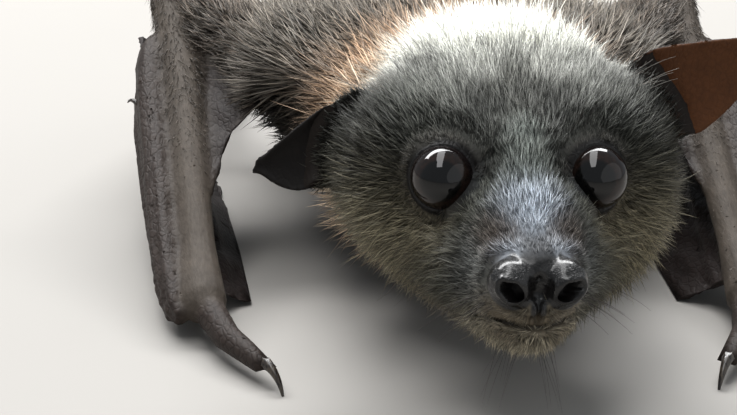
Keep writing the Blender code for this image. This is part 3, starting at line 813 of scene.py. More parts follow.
def growTufts(name, roots, normals, flow, size, colours, unwrap, rings, seed):
    # one mesh of closed three-sided tufts: a root point, the rings, and a tip
    chance = np.random.default_rng(seed)
    path, across, width, marks = spindlePath(roots, normals, flow, size, rings, chance)
    count, each = len(roots), 3 * rings + 2
    vertices = np.empty((count, each, 3))
    vertices[:, 0], vertices[:, -1] = path[0], path[-1]
    for k in range(rings):
        axis = unit(path[k + 2] - path[k])
        high = unit(np.cross(axis, across))
        reach = (width * (1 - coat["taper"] * k) / sqrt(3) * mm)[:, None]
        for corner in range(3):
            angle = pi / 2 + 2 * pi * corner / 3
            vertices[:, 1 + 3 * k + corner] = path[k + 1] + reach * (across * cos(angle) + high * sin(angle))
    vertices[..., 2] = np.maximum(vertices[..., 2], coat["overFloor"] * mm)
    faces = []
    for corner in range(3):
        following = (corner + 1) % 3
        faces.append((0, 1 + following, 1 + corner))
        for k in range(rings - 1):
            a, b = 1 + 3 * k + corner, 1 + 3 * k + following
            faces += [(a, b, b + 3), (a, b + 3, a + 3)]
        faces.append((each - 4 + corner, each - 4 + following, each - 1))
    corners = (np.array(faces)[None] + (np.arange(count) * each)[:, None, None]).reshape(-1, 3)
    along = np.array([0] + [marks[k + 1] for k in range(rings) for _ in range(3)] + [1.0])
    strand = np.empty((count, each, 3))  # how far along the tuft, and two random numbers of its own
    strand[..., 0] = along
    strand[..., 1:] = chance.uniform(size=(count, 1, 2))
    sideways = np.array([0] + [-0.5, 0.5, 0] * rings + [0])
    patch = unwrap[:, None] + coat["patch"] * np.stack([sideways, along], -1)
    made = meshFrom(name, vertices.reshape(-1, 3), corners)
    paint(made, "markings", np.repeat(colours, each, axis=0))
    paint(made, "strand", strand.reshape(-1, 3))
    unwrapped = made.data.uv_layers.new(name="OFBake")
    unwrapped.data.foreach_set("uv", patch.reshape(-1, 2)[corners.ravel()].astype(np.float32).ravel())
    return made


def meshFrom(name, vertices, corners):
    # a smooth mesh of triangles
    mesh = bpy.data.meshes.new(name)
    mesh.vertices.add(len(vertices))
    mesh.vertices.foreach_set("co", vertices.astype(np.float32).ravel())
    mesh.loops.add(corners.size)
    mesh.loops.foreach_set("vertex_index", corners.astype(np.int32).ravel())
    mesh.polygons.add(len(corners))
    mesh.polygons.foreach_set("loop_start", np.arange(0, corners.size, 3, dtype=np.int32))
    mesh.update(calc_edges=True)
    mesh.shade_smooth()
    made = bpy.data.objects.new(name, mesh)
    bpy.context.scene.collection.objects.link(made)
    return made


def paint(obj, name, colours):
    # keeps a colour for each point, which the materials read by its name
    full = np.ones((len(colours), 4), np.float32)
    full[:, :3] = colours
    layer = obj.data.color_attributes.new(name, "FLOAT_COLOR", "POINT")
    layer.data.foreach_set("color", full.ravel())


def fitted(values):
    # from a hair over nothing to a hair under one
    low, high = values.min(), values.max()
    return 0.01 + 0.975 * (values - low) / max(high - low, 1e-9)


def unrolled(roots, owners):
    # the skin unrolled: how far round the body or the limb, and how far along it
    around = np.arctan2(roots[:, 0], roots[:, 2] - 24 * mm)
    along = roots[:, 1].copy()
    for number, name in enumerate(fleshNodes):
        here = owners == number
        if here.any() and partOf(name) in bodyLay and partOf(name) not in ("neck", "trunk"):
            start, end = (np.array(point) for point in endsOf(name))
            axis = unit((end - start)[None])[0]
            aside = unit(np.cross(axis, (0, 0, 1))[None])[0]
            away = roots[here] - (start + end) / 2
            around[here] = np.arctan2(away @ aside, away[:, 2]) + 7 * number
            along[here] = away @ axis
    return around, along


def coatSizes(obj, triangles, owners):
    # length, width, lift and number of the tufts for every face of the skin
    centres = pointsOf(obj)[triangles].mean(1)
    head, parts = toHead(centres), partsOf(owners)
    sizes = sum(share[:, None] * np.array(lay[key][2]) for key, share in blendOf(lay, folded(head)).items())
    for part, values in bodyLay.items():
        sizes[parts == part] = values
    sizes[~np.isin(parts, ["head", "lower_jaw"] + list(bodyLay)), 3] = 0
    # shorter beside the ears
    beside = smoothStep(1.0, 8.5, earDistance(centres))
    sizes[:, 0] *= np.where(np.isin(parts, ["head", "lower_jaw", "neck"]), 0.25 + 0.75 * beside, 1)
    # none on the nose, in the eyes and on the lips' edges
    onHead = np.isin(parts, ["head", "lower_jaw"])
    bare = padOf(head) > 0.5
    for side in sides:
        away, distance, angle = angleFromGaze(side, head)
        bare |= (distance < eyeRadius + 0.6) & (angle < openingAngle(side, away) + 3)
        bare |= (distance < eyeRadius + 1.1) & (angle < openingAngle(side, away) - 8)
    mouth = mouthLine(head)
    bare |= (np.abs(head[:, 2] - mouth) < 0.26) & (head[:, 1] > 10)
    sizes[:, 0] *= 1 - 0.45 * bump(head[:, 2] - mouth - 0.8, 1.1) * smoothStep(5, 9, head[:, 1])
    # shorter and denser round the eyes
    apart = smoothStep(5.4, 10.0, eyeDistance(head))
    sizes[:, 0] *= np.where(onHead, 0.38 + 0.62 * apart, 1)
    sizes[:, 3] *= np.where(onHead, 1.25 - 0.25 * apart, 1)
    sizes[onHead & bare, 3] = 0
    # none under the belly, and thin on the lower ends of the forearms
    height = centres[:, 2] / mm
    sizes[:, 3] *= np.where(parts == "trunk", height > 1.5, True)
    sizes[:, 3] *= np.where(parts == "forearm", 0.1 + 0.9 * smoothStep(10, 26, height), 1)
    sizes[:, 0] *= np.where(parts == "forearm", 0.7 + 1.3 * smoothStep(14, 32, height), 1)
    for side in sides:  # on an ear only near its root
        root = np.array(endsOf(f"ear_{side}")[0])
        fromRoot = lengthOf(centres - root)[:, 0] / mm
        otherSide = centres[:, 0] * sides[side] < 0
        sizes[:, 3] *= np.where(parts == "ear", smoothStep(10, 4, fromRoot) + otherSide, 1)
    return sizes, onHead


def growCoat(obj, material):
    triangles = trianglesOf(obj)
    owners = nearestParts(pointsOf(obj)[triangles].mean(1))
    sizes, onHead = coatSizes(obj, triangles, owners)
    roots, normals, picked = scatter(obj, triangles, sizes[:, 3], coat["seed"])
    owners, size, onHead = owners[picked], sizes[picked], onHead[picked]
    parts = partsOf(owners)
    flow = np.where(onHead[:, None], flowOnHead(toHead(roots)), flowOnBody(roots, owners))
    colours = markingAt(roots, owners)
    around, along = unrolled(roots, owners)
    bent = onHead & (size[:, 0] > coat["bentFrom"])
    isLimb = ~onHead & ~np.isin(parts, ["neck", "trunk"])
    groups = {"face": onHead & ~bent, "head": bent, "body": ~onHead & ~isLimb, "limbs": isLimb}
    for group, chosen in groups.items():
        rings = 2 if group == "head" else 1
        index = np.nonzero(chosen)[0]
        order = index[np.argsort(around[index], kind="stable")]
        pieceCount = int(np.ceil(len(order) * 6 * rings / coat["piece"]))
        for number, part in enumerate(np.array_split(order, pieceCount)):
            unwrap = np.stack([fitted(around[part]), fitted(along[part])], -1)
            made = growTufts(
                f"coat_{group}_{number + 1}", roots[part], normals[part], flow[part], size[part],
                colours[part], unwrap, rings, 100 + number,
            )
            made.data.materials.append(material)
            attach(made, "root")
        report(f"coat of the {group}: {len(order)} tufts")


# wings: finger bones under the skin of the folded hand, and slack folds in the membranes
wing = {  # lengths in millimetres
    "ridges": 3.5, "height": 0.42,  # of the finger bones
    "narrow": 6.4, "widening": 0.18,  # of the hand at the wrist, and towards its end
    "fold": 0.3,
}


def shapeWings(obj):
    points, normals = pointsOf(obj), normalsOf(obj)
    parts = partsOf(nearestParts(points))
    push = np.zeros(len(points))
    for side in sides:
        elbow, wrist = endsOf(f"forearm_{side}")
        heading = (elbow - wrist).normalized()
        outward = heading.cross(Vector((0, 0, 1))).normalized()
        rise = np.array(outward.cross(heading).normalized())
        rise = rise * np.sign(rise[2])
        away = (points - np.array(wrist)) / mm
        place, level = away @ np.array(heading), away @ rise
        onThisSide = points[:, 0] * sides[side] > 0
        fan = level / (wing["narrow"] + wing["widening"] * np.clip(place, 0, 56))
        here = np.isin(parts, ["folded_fingers"]) * onThisSide
        ends = smoothStep(-4, 6, place) * smoothStep(68, 58, place)
        push += here * ends * wing["height"] * np.cos(2 * pi * wing["ridges"] * (fan + 0.05))
        slack = np.isin(parts, ["side_membrane", "fore_membrane"]) * onThisSide
        drawn = away * np.array((1.0, 0.4, 1.0))
        ripple = np.sin(drawn @ np.array((0.3, 0.55, 1.1)) * 1.1 + np.sin(drawn[:, 1] * 0.5))
        push += slack * wing["fold"] * ripple
    push = spread(push, edgesOf(obj), 2)
    setPoints(obj, points + normals * push[:, None] * mm)
    report("fingers and folds of the wings")


# materials
class Nodes:
    # short words for making the nodes of a material or a group
    def __init__(self, tree):
        self.tree = tree

    def add(self, kind, settings=None, **inputs):
        made = self.tree.nodes.new(kind)
        for key, value in (settings or {}).items():
            setattr(made, key, value)
        for key, value in inputs.items():
            self.give(made.inputs[key], value)
        return made

    def give(self, socket, value):
        if isinstance(value, bpy.types.NodeSocket):
            self.tree.links.new(value, socket)
        else:
            socket.default_value = value

    def math(self, operation, first, second):
        made = self.add("ShaderNodeMath", {"operation": operation})
        self.give(made.inputs[0], first)
        self.give(made.inputs[1], second)
        return made.outputs[0]

    def mix(self, share, first, second):
        made = self.add("ShaderNodeMix", {"data_type": "RGBA"})
        for socket, value in zip((made.inputs[0], made.inputs[6], made.inputs[7]), (share, first, second)):
            self.give(socket, value)
        return made.outputs[2]

    def remap(self, value, low, high, newLow, newHigh):
        made = self.add("ShaderNodeMapRange", None, Value=value)
        for key, number in zip(("From Min", "From Max", "To Min", "To Max"), (low, high, newLow, newHigh)):
            made.inputs[key].default_value = number
        return made.outputs[0]

    def noise(self, place, scale, detail=3.0, roughness=0.5):
        made = self.add("ShaderNodeTexNoise", None, Vector=place, Scale=scale)
        made.inputs["Detail"].default_value = detail
        made.inputs["Roughness"].default_value = roughness
        return made.outputs[0]

    def attribute(self, name):
        return self.add("ShaderNodeAttribute", {"attribute_name": name})

    def split(self, colour):
        return self.add("ShaderNodeSeparateColor", None, Color=colour).outputs


def newGroup(name, ins, outs):
    tree = bpy.data.node_groups.new(name, "ShaderNodeTree")
    for label, kind, value in ins:
        socket = tree.interface.new_socket(label, in_out="INPUT", socket_type=kind)
        if value is not None:
            socket.default_value = value
    for label, kind in outs:
        tree.interface.new_socket(label, in_out="OUTPUT", socket_type=kind)
    return tree, tree.nodes.new("NodeGroupInput").outputs, tree.nodes.new("NodeGroupOutput").inputs


def furStreaksGroup():
    # short lying hair as height and as a light and dark pattern, long ways back over the body
    tree, given, out = newGroup(
        "furStreaks",
        [("Place", "NodeSocketVector", None), ("Scale", "NodeSocketFloat", 2600.0)],
        [("Height", "NodeSocketFloat"), ("Shade", "NodeSocketFloat")],
    )
    net = Nodes(tree)
    drawn = net.add("ShaderNodeMapping", None, Vector=given["Place"], Scale=(1, 0.22, 0.6))
    fine = net.noise(drawn.outputs[0], given["Scale"], 4.0, 0.6)
    broad = net.noise(given["Place"], 240.0, 3.0, 0.5)
    net.give(out["Height"], fine)
    net.give(out["Shade"], net.math("ADD", net.math("MULTIPLY", fine, 0.7), net.math("MULTIPLY", broad, 0.6)))
    return tree


def leatherGroup():
    # fine wrinkles and pores of bare skin
    tree, given, out = newGroup(
        "leather",
        [
            ("Place", "NodeSocketVector", None),
            ("Scale", "NodeSocketFloat", 900.0),
            ("Stretch", "NodeSocketVector", (1, 1, 1)),
        ],
        [("Height", "NodeSocketFloat"), ("Shade", "NodeSocketFloat")],
    )
    net = Nodes(tree)
    drawn = net.add("ShaderNodeMapping", None, Vector=given["Place"], Scale=given["Stretch"]).outputs[0]
    bent = net.add("ShaderNodeTexNoise", None, Vector=drawn, Scale=350.0, Detail=2.0)
    shifted = net.add("ShaderNodeVectorMath", {"operation": "SCALE"}, Scale=0.0012)
    net.give(shifted.inputs[0], bent.outputs["Color"])
    moved = net.add("ShaderNodeVectorMath", {"operation": "ADD"})
    net.give(moved.inputs[0], drawn)
    net.give(moved.inputs[1], shifted.outputs[0])
    cells = net.add("ShaderNodeTexVoronoi", {"feature": "DISTANCE_TO_EDGE"}, Vector=moved.outputs[0])
    net.give(cells.inputs["Scale"], given["Scale"])
    wrinkle = net.remap(cells.outputs[0], 0.0, 0.22, 0.0, 1.0)
    pores = net.noise(given["Place"], 3800.0, 2.0, 0.5)
    cloud = net.noise(given["Place"], 160.0, 3.0, 0.6)
    fine = net.math("MULTIPLY", pores, 0.3)
    net.give(out["Height"], net.math("ADD", net.math("MULTIPLY", wrinkle, 0.7), fine))
    # the colour is darker in the creases of the wrinkles, as painted shade, over a cloudy tone of the skin's
    # own
    net.give(out["Shade"], net.math("ADD", net.math("MULTIPLY", wrinkle, 0.5), cloud))
    return tree


furStreaks = furStreaksGroup()
leather = leatherGroup()


def newMaterial(name):
    made = bpy.data.materials.new(name)
    made.use_nodes = True
    tree = made.node_tree
    net = Nodes(tree)
    return made, net, tree.nodes["Principled BSDF"], net.add("ShaderNodeTexCoord").outputs["Object"]


def useGroup(net, tree, **inputs):
    return net.add("ShaderNodeGroup", {"node_tree": tree}, **inputs).outputs


fur = {
    "root": 0.26, "tip": 1.45, "dark": 0.48, "pale": 2.3, "roughness": 0.46, "paleTips": 0.34,
    "tipColour": (0.115, 0.12, 0.11), "specular": 0.22,
}


def furMaterial():
    made, net, shader, place = newMaterial("fur")
    along, chance, other = net.split(net.attribute("strand").outputs["Color"])
    shade = net.remap(along, 0.0, 1.0, fur["root"], fur["tip"])
    uneven = net.math("POWER", chance, 2.2)
    shade = net.math("MULTIPLY", shade, net.remap(uneven, 0.0, 1.0, fur["dark"], fur["pale"]))
    patchy = net.remap(net.noise(place, 210.0, 3.0, 0.6), 0.3, 0.7, 0.82, 1.18)
    shade = net.math("MULTIPLY", shade, patchy)
    tint = net.add("ShaderNodeVectorMath", {"operation": "SCALE"}, Scale=shade)
    net.give(tint.inputs[0], net.attribute("markings").outputs["Color"])
    # some tufts end in a pale tip
    tipped = net.remap(other, 1 - fur["paleTips"], 1.0, 0.0, 0.8)
    tipped = net.math("MULTIPLY", tipped, net.remap(along, 0.45, 1.0, 0.0, 1.0))
    pale = net.add("ShaderNodeVectorMath", {"operation": "MULTIPLY_ADD"})
    net.give(pale.inputs[0], net.attribute("markings").outputs["Color"])
    pale.inputs[1].default_value = (0.9, 0.9, 0.9)
    pale.inputs[2].default_value = fur["tipColour"]
    colour = net.mix(tipped, tint.outputs[0], pale.outputs[0])
    net.give(shader.inputs["Base Color"], colour)
    shader.inputs["Roughness"].default_value = fur["roughness"]
    shader.inputs["Specular IOR Level"].default_value = fur["specular"]
    return made


bareSkin = {
    "underCoat": 0.8,  # how much darker the skin is than the coat over it
    "furScale": 2400.0, "wrinkleScale": 1000.0, "poreScale": 3200.0,
    "wetCoat": 0.6, "coatRoughness": 0.2, "specular": 0.16, "relief": 0.6,
    # painted shade: near black laid into the nostrils and the mouth's slit
    "hollow": (0.004, 0.003, 0.003, 1),
}


def skinMaterial():
    made, net, shader, place = newMaterial("skin")
    wet, leathery, hollow = net.split(net.attribute("surface").outputs["Color"])
    streaks = useGroup(net, furStreaks, Place=place, Scale=bareSkin["furScale"])
    wrinkles = useGroup(net, leather, Place=place, Scale=bareSkin["wrinkleScale"], Stretch=(1, 0.5, 1))
    nosePores = useGroup(net, leather, Place=place, Scale=bareSkin["poreScale"], Stretch=(1, 1, 1))
    furry = net.math("SUBTRACT", 1.0, net.math("MAXIMUM", wet, leathery))
    marks = net.attribute("markings").outputs["Color"]
    shadeFur = net.remap(streaks["Shade"], 0.3, 0.95, 0.45, 1.35)
    # on bare skin the wrinkles' creases are darkened as painted shade
    shadeBare = net.remap(wrinkles["Shade"], 0.4, 1.2, 0.72, 1.25)
    blended = net.add("ShaderNodeMix", {"data_type": "FLOAT"})
    net.give(blended.inputs[0], furry)
    net.give(blended.inputs[2], shadeBare)
    net.give(blended.inputs[3], shadeFur)
    tint = net.add("ShaderNodeVectorMath", {"operation": "SCALE"}, Scale=blended.outputs[0])
    net.give(tint.inputs[0], marks)
    # painted shade: the blue mask darkens the nostrils and the mouth's slit
    net.give(shader.inputs["Base Color"], net.mix(hollow, tint.outputs[0], bareSkin["hollow"]))
    rough = net.math("SUBTRACT", net.remap(leathery, 0.0, 1.0, 0.66, 0.58), net.math("MULTIPLY", wet, 0.33))
    rough = net.math("ADD", rough, net.remap(nosePores["Height"], 0.0, 1.0, 0.06, -0.04))
    net.give(shader.inputs["Roughness"], rough)
    net.give(shader.inputs["Coat Weight"], net.math("MULTIPLY", wet, bareSkin["wetCoat"]))
    shader.inputs["Coat Roughness"].default_value = bareSkin["coatRoughness"]
    shader.inputs["Specular IOR Level"].default_value = bareSkin["specular"]
    # height: short hair where there is fur, wrinkles and tendons on bare skin, pores on the nose
    height = net.math("MULTIPLY", streaks["Height"], furry)
    creased = net.math("MULTIPLY", wrinkles["Height"], net.math("MULTIPLY", leathery, 0.8))
    height = net.math("ADD", height, creased)
    drawn = net.add("ShaderNodeMapping", None, Vector=place, Scale=(1, 0.3, 1)).outputs[0]
    tendons = net.noise(drawn, 420.0, 3.0)
    drawnTight = net.math("MULTIPLY", tendons, net.math("MULTIPLY", leathery, 2.0))
    height = net.math("ADD", height, drawnTight)
    porous = net.math("MULTIPLY", nosePores["Height"], net.math("MULTIPLY", wet, 0.6))
    height = net.math("ADD", height, porous)
    relief = net.add("ShaderNodeBump", None, Height=height, Strength=bareSkin["relief"], Distance=0.00018)
    net.give(shader.inputs["Normal"], relief.outputs[0])
    return made


bareParts = {
    # the left ear takes painted light shining through it, the right ear painted shade
    "ear_left": "earLeft", "ear_right": "earRight", "fore_membrane": "wing", "side_membrane": "wing",
    "folded_fingers": "digit", "thumb": "digit", "foot": "foot",
}


def paintSkin(obj):
    # colours and surface masks: red wet, green leathery, blue the painted shade that darkens the nostrils and
    # the mouth's slit
    points = pointsOf(obj)
    owners = nearestParts(points)
    parts, head = partsOf(owners), toHead(points)
    x, f, u = np.abs(head[:, 0]), head[:, 1], head[:, 2]
    colours = markingAt(points, owners) * bareSkin["underCoat"]
    wet, leathery, hollow = np.zeros(len(points)), np.zeros(len(points)), np.zeros(len(points))
    for side in sides:
        away, distance, angle = angleFromGaze(side, head)
        opening = openingAngle(side, away)
        ring = smoothStep(opening + 13, opening + 5, angle) * (distance < eyeRadius + 1.2)
        colours = towards(colours, "lid", ring)
        leathery = np.maximum(leathery, ring)
        wet = np.maximum(wet, 0.4 * smoothStep(opening + 1, opening - 1, angle) * (distance < 8.5))
    pad = padOf(head)
    pad *= np.isin(parts, ["head", "lower_jaw"])
    colours = towards(colours, "nosePad", pad)
    apex = smoothStep(-5.6, -4.0, u) * smoothStep(2.8, 1.4, x)
    wet = np.maximum(wet, pad * (1 - 0.85 * apex))
    leathery = np.maximum(leathery, 0.4 * pad)
    mouth = mouthLine(head)
    gape = smoothStep(7, 13, f) * smoothStep(-10.5, -12.5, u)
    colours = towards(colours, "lip", 0.85 * bump(u - mouth - 0.3, 1.6) * gape)
    # painted shade along the crease of the closed mouth
    slit = 0.75 * bump(u - mouth, 0.36) * gape
    colours = towards(colours, "mouth", slit)
    wet = np.maximum(wet, 0.8 * slit)
    hollow = np.maximum(hollow, 0.7 * slit)
    edges = edgesOf(obj)
    facing = normalsOf(obj) @ headForward
    for part, tone in bareParts.items():
        here = parts == part if part in parts else owners == fleshNodes.index(part)
        soft = spread(here.astype(float), edges, 3)
        if "ear" in part:
            soft = smoothStep(0.0, 0.6, soft)
        colours = towards(colours, tone, soft)
        if "ear" in part:
            colours = towards(colours, "earBack", soft * smoothStep(0.45, 0.0, facing))
        leathery = np.maximum(leathery, soft * (0.4 if "ear" in part else 1))
    # painted shade deep inside the nostrils
    inside = nostrilDepth(head)
    hollow = np.maximum(hollow, inside)
    wet = wet * (1 - 0.9 * inside)
    paint(obj, "markings", colours)
    paint(obj, "surface", np.stack([wet, leathery, hollow], -1))
    report("skin painted")


def nostrilDepth(head):
    # one deep in a nostril, nothing outside it
    inside = np.zeros(len(head))
    for side in sides.values():
        away, axis, ring, wide = aroundNostril(head, side)
        sunk = smoothStep(1.15, 0.95, ring / wide) * smoothStep(-6.5, -5.0, away @ axis)
        inside = np.maximum(inside, sunk * smoothStep(-0.3, -1.1, away @ axis))
    return inside


# eyes: dark balls with a swollen front, both turned the same way
eye = {
    "look": (14, 14), "pupil": 38, "iris": 57,  # degrees
    "swell": 0.15, "reach": 3.8,  # the clear front's height and half width, in millimetres
    "roughness": 0.03, "ior": 1.42, "film": 0.14, "segments": 96, "rings": 64,
    "irisDark": (0.006, 0.004, 0.003, 1), "irisPale": (0.016, 0.008, 0.006, 1),
    "pupilColour": (0.002, 0.002, 0.002, 1), "outside": (0.005, 0.003, 0.003, 1),
}


def eyeTurn():
    # both eyes look the same way, a little to the animal's right
    across, rise = radians(eye["look"][0]), radians(eye["look"][1])
    gaze = np.array((-sin(across) * cos(rise), cos(across) * cos(rise), sin(rise)))
    return Vector(turnFromHead(gaze[None])[0]).to_track_quat("Z", "Y")


def makeEye(side):
    centre = eyeMiddle[side]
    turn = eyeTurn()
    bpy.ops.object.select_all(action="DESELECT")
    bpy.ops.mesh.primitive_uv_sphere_add(
        segments=eye["segments"], ring_count=eye["rings"], radius=eyeRadius * mm,
        location=centre, rotation=turn.to_euler(),
    )
    made = bpy.context.object
    made.name = made.data.name = f"eyeball_{side}"
    bpy.ops.object.transform_apply(location=True, rotation=True, scale=True)
    points = pointsOf(made)
    gaze = np.array(turn @ Vector((0, 0, 1)))
    away = (points - np.array(centre)) / mm
    aside = lengthOf(away - (away @ gaze)[:, None] * gaze)[:, 0]
    swelling = eye["swell"] * smoothStep(eye["reach"], 0, aside) * (away @ gaze > 0)
    setPoints(made, points + gaze * (swelling * mm)[:, None])
    bpy.ops.object.shade_smooth()
    made.data.materials.append(eyeMaterial(side, centre, turn))
    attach(made, "root")
    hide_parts(f"eye_{side}")


def eyeMaterial(side, centre, turn):
    made, net, shader, place = newMaterial(f"eye_{side}")
    away = net.add("ShaderNodeVectorMath", {"operation": "SUBTRACT"})
    net.give(away.inputs[0], place)
    away.inputs[1].default_value = centre
    gaze = turn @ Vector((0, 0, 1))
    dot = net.add("ShaderNodeVectorMath", {"operation": "DOT_PRODUCT"})
    heading = net.add("ShaderNodeVectorMath", {"operation": "NORMALIZE"}, Vector=away.outputs[0])
    net.give(dot.inputs[0], heading.outputs[0])
    dot.inputs[1].default_value = gaze
    ahead = dot.outputs["Value"]
    fibres = net.add("ShaderNodeMapping", {"vector_type": "POINT"}, Vector=away.outputs[0])
    fibres.inputs["Rotation"].default_value = turn.inverted().to_euler()
    streaks = net.noise(fibres.outputs[0], 1500.0, 4.0, 0.6)
    iris = net.mix(net.remap(streaks, 0.35, 0.7, 0.0, 1.0), eye["irisDark"], eye["irisPale"])
    pupil = net.remap(ahead, cos(radians(eye["pupil"] + 4)), cos(radians(eye["pupil"] - 2)), 0.0, 1.0)
    colour = net.mix(pupil, iris, eye["pupilColour"])
    outside = net.remap(ahead, cos(radians(eye["iris"] + 6)), cos(radians(eye["iris"])), 1.0, 0.0)
    colour = net.mix(outside, colour, eye["outside"])
    net.give(shader.inputs["Base Color"], colour)
    shader.inputs["Roughness"].default_value = eye["roughness"]
    shader.inputs["IOR"].default_value = eye["ior"]
    tears = net.noise(place, 620.0, 2.0)
    film = net.add("ShaderNodeBump", None, Height=tears, Strength=eye["film"], Distance=0.0002)
    net.give(shader.inputs["Normal"], film.outputs[0])
    return made


# claws: the nodes' own shapes, rounded off
claw = {
    "rounding": 2, "roughness": (0.22, 0.42), "relief": 0.25,
    "dark": (0.012, 0.009, 0.008, 1), "pale": (0.10, 0.075, 0.05, 1),
}
clawNodes = [name for name in nodes if "claw" in name]


def clawMaterial():
    made, net, shader, place = newMaterial("claw")
    grain = net.add("ShaderNodeMapping", None, Vector=place, Scale=(1, 0.3, 0.3)).outputs[0]
    streaks = net.noise(grain, 3000.0, 4.0, 0.6)
    colour = net.mix(net.remap(streaks, 0.4, 0.7, 0.0, 0.6), claw["dark"], claw["pale"])
    net.give(shader.inputs["Base Color"], colour)
    net.give(shader.inputs["Roughness"], net.remap(streaks, 0.3, 0.7, *claw["roughness"]))
    relief = net.add("ShaderNodeBump", None, Height=streaks, Strength=claw["relief"], Distance=0.0001)
    net.give(shader.inputs["Normal"], relief.outputs[0])
    return made


def makeClaws():
    material = clawMaterial()
    for name in clawNodes:
        made = copyOfNodes([name], f"{name}_horn")
        activate(made)
        rounded = made.modifiers.new("rounded", "SUBSURF")
        rounded.levels = rounded.render_levels = claw["rounding"]
        applyAll(made)
        bpy.ops.object.shade_smooth()
        made.data.materials.append(material)
        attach(made, "root")
        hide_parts(name)
    report(f"{len(clawNodes)} claws")


# whiskers: thin dark hairs that bend down, thick at the root
whiskers = {
    "thick": 0.05, "thin": 0.012, "rings": 8, "sink": 0.5, "seed": 31,
    "astray": 0.16, "uneven": (0.65, 1.2),  # how far they point and how long they are, at random
    "roughness": 0.35, "dark": ((0.012, 0.009, 0.008, 1), (0.05, 0.04, 0.035, 1)),  # at the root and the tip
    "pale": ((0.12, 0.10, 0.08, 1), (0.6, 0.56, 0.5, 1)),
}
whiskerSpots = {  # place on the head, spread of the place, heading, length, how many a side
    "lip": ((6.0, 14.5, -11.5), (1.2, 2.2, 1.2), (0.9, -0.1, -0.5), 9.0, 9),
    "cheek": ((10.5, 4.0, -13.0), (1.5, 2.5, 1.5), (0.8, -0.5, -0.6), 10.0, 4),
    "chin": ((2.6, 14.0, -18.5), (1.6, 2.4, 0.8), (0.35, 0.25, -1.0), 9.5, 8),
    "brow": ((8.0, -2.0, 6.5), (1.2, 1.0, 0.8), (0.3, 0.2, 1.0), 6.0, 3),
}
earHairSpots = {
    "overEar": ((19.5, -13.5, 11.5), (2.0, 1.5, 3.0), (0.9, -0.35, 0.5), 7.5, 22),
}


def hairMaterial(name, root, tip):
    made, net, shader, _ = newMaterial(name)
    along = net.split(net.attribute("strand").outputs["Color"])[0]
    net.give(shader.inputs["Base Color"], net.mix(along, root, tip))
    shader.inputs["Roughness"].default_value = whiskers["roughness"]
    return made


def hairRings(point, way, reach):
    # the corners of one hair, ring by ring, as it bends down towards its tip
    across = way.orthogonal().normalized()
    high = way.cross(across)
    corners, shares = [], []
    for k in range(whiskers["rings"] + 1):
        share = k / whiskers["rings"]
        wide = (whiskers["thick"] * (1 - share) + whiskers["thin"] * share) * mm
        for corner in range(4):
            angle = pi * corner / 2
            corners.append(point + wide * (across * cos(angle) + high * sin(angle)))
            shares.append((share, 0, 0))
        point = point + way * reach / whiskers["rings"]
        way = (way + Vector((0, 0, -0.07 * share - 0.02))).normalized()
    return corners, shares


def hairFaces(start):
    # two triangles a side between the rings, and two to close each end
    faces = []
    for k in range(whiskers["rings"]):
        for corner in range(4):
            a, b = start + 4 * k + corner, start + 4 * k + (corner + 1) % 4
            faces += [(a, b, b + 4), (a, b + 4, a + 4)]
    last = start + 4 * whiskers["rings"]
    faces += [(last, last + 1, last + 2), (last, last + 2, last + 3)]
    faces += [(start, start + 2, start + 1), (start, start + 3, start + 2)]
    return faces


def makeHairs(obj, name, spots, material):
    chance = np.random.default_rng(whiskers["seed"])
    tree = BVHTree.FromObject(obj, bpy.context.evaluated_depsgraph_get())
    faces, vertices, shares = [], [], []
    for at, spreadOf, heading, length, number in spots.values():
        for side in sides.values():
            for _ in range(number):
                place = np.array(at) + chance.uniform(-1, 1, 3) * np.array(spreadOf)
                root, normal, _, _ = tree.find_nearest(Vector(fromHead((place * (side, 1, 1))[None])[0]))
                way = np.array(heading) * (side, 1, 1) + chance.normal(0, whiskers["astray"], 3)
                way = Vector(turnFromHead(unit(way[None]))[0]) + normal * 0.4
                way.normalize()
                reach = length * chance.uniform(*whiskers["uneven"]) * mm
                faces += hairFaces(len(vertices))
                corners, along = hairRings(root - normal * whiskers["sink"] * mm, way, reach)
                vertices += corners
                shares += along
    made = meshFrom(name, np.array(vertices), np.array(faces))
    paint(made, "strand", np.array(shares, float))
    unwrapped = made.data.uv_layers.new(name="OFBake")
    perHair = 4 * (whiskers["rings"] + 1)
    loops = np.array(faces).ravel()
    hair, ring = loops // perHair, loops % perHair
    flat = np.stack([0.01 + hair * 0.015 + (ring % 4) * 0.003, 0.01 + ring // 4 * 0.1], -1)
    unwrapped.data.foreach_set("uv", flat.astype(np.float32).ravel())
    made.data.materials.append(material)
    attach(made, "root")
    report(f"{name}: {len(vertices) // perHair}")


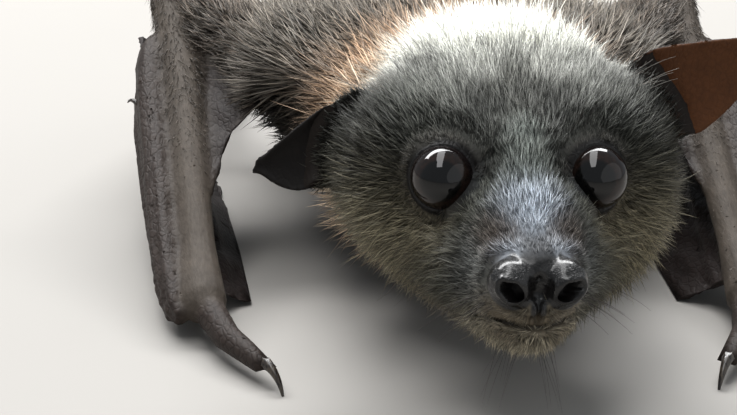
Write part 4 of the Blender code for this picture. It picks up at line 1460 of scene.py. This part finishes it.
# light: a narrow softbox over and behind the head, one straight above, and a dim one at the side
lights = {  # place and size in metres
    "overhead": {"place": (-0.08, 0.42, 0.6), "shape": "RECTANGLE", "size": (1.0, 0.2), "power": 12},
    "above": {"place": (-0.25, 0.0, 1.5), "shape": "RECTANGLE", "size": (1.8, 0.5), "power": 17},
    "side": {"place": (2.0, -1.5, 0.9), "shape": "ELLIPSE", "size": (4.6, 3.4), "power": 18},
}
studio = {
    "air": (0.8, 0.85, 0.9, 1), "strength": 0.46,
    "floor": (0.33, 0.315, 0.295), "roughness": 0.75, "width": 4,
}


def makeLights():
    for name, light in lights.items():
        place = Vector(light["place"])
        aim = (Vector(betweenEyes) - place).to_track_quat("-Z", "Y").to_euler()
        bpy.ops.object.light_add(type="AREA", location=place, rotation=aim)
        made = bpy.context.object
        made.name = f"softbox_{name}"
        made.data.shape = light["shape"]
        made.data.size, made.data.size_y = light["size"]
        made.data.energy = light["power"]
    world = bpy.data.worlds.new("studio")
    world.use_nodes = True
    background = world.node_tree.nodes["Background"]
    background.inputs["Color"].default_value = studio["air"]
    background.inputs["Strength"].default_value = studio["strength"]
    bpy.context.scene.world = world
    bpy.context.scene.view_settings.view_transform = "Standard"


def makeFloor():
    bpy.ops.mesh.primitive_plane_add(size=studio["width"], location=(0, 0, 0))
    floor = bpy.context.object
    floor.name = "floor"
    paper, net, shader, place = newMaterial("studio_floor")
    cloud = net.remap(net.noise(place, 3.0, 3.0), 0.3, 0.7, 0.96, 1.04)
    tint = net.add("ShaderNodeVectorMath", {"operation": "SCALE"}, Scale=cloud)
    tint.inputs[0].default_value = studio["floor"]
    net.give(shader.inputs["Base Color"], tint.outputs[0])
    shader.inputs["Roughness"].default_value = studio["roughness"]
    floor.data.materials.append(paper)


shapeWings(skinObject)
paintSkin(skinObject)
growCoat(skinObject, furMaterial())
for side in sides:
    makeEye(side)
makeClaws()
makeHairs(skinObject, "whiskers", whiskerSpots, hairMaterial("whisker", *whiskers["dark"]))
makeHairs(skinObject, "ear_hairs", earHairSpots, hairMaterial("ear_hair", *whiskers["pale"]))
makeLights()
makeFloor()
skinObject.data.materials.append(skinMaterial())
bpy.ops.object.select_all(action="DESELECT")
skinObject.data.shade_smooth()
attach(skinObject, "root")
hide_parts(*fleshNodes)

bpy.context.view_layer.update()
report("finished")
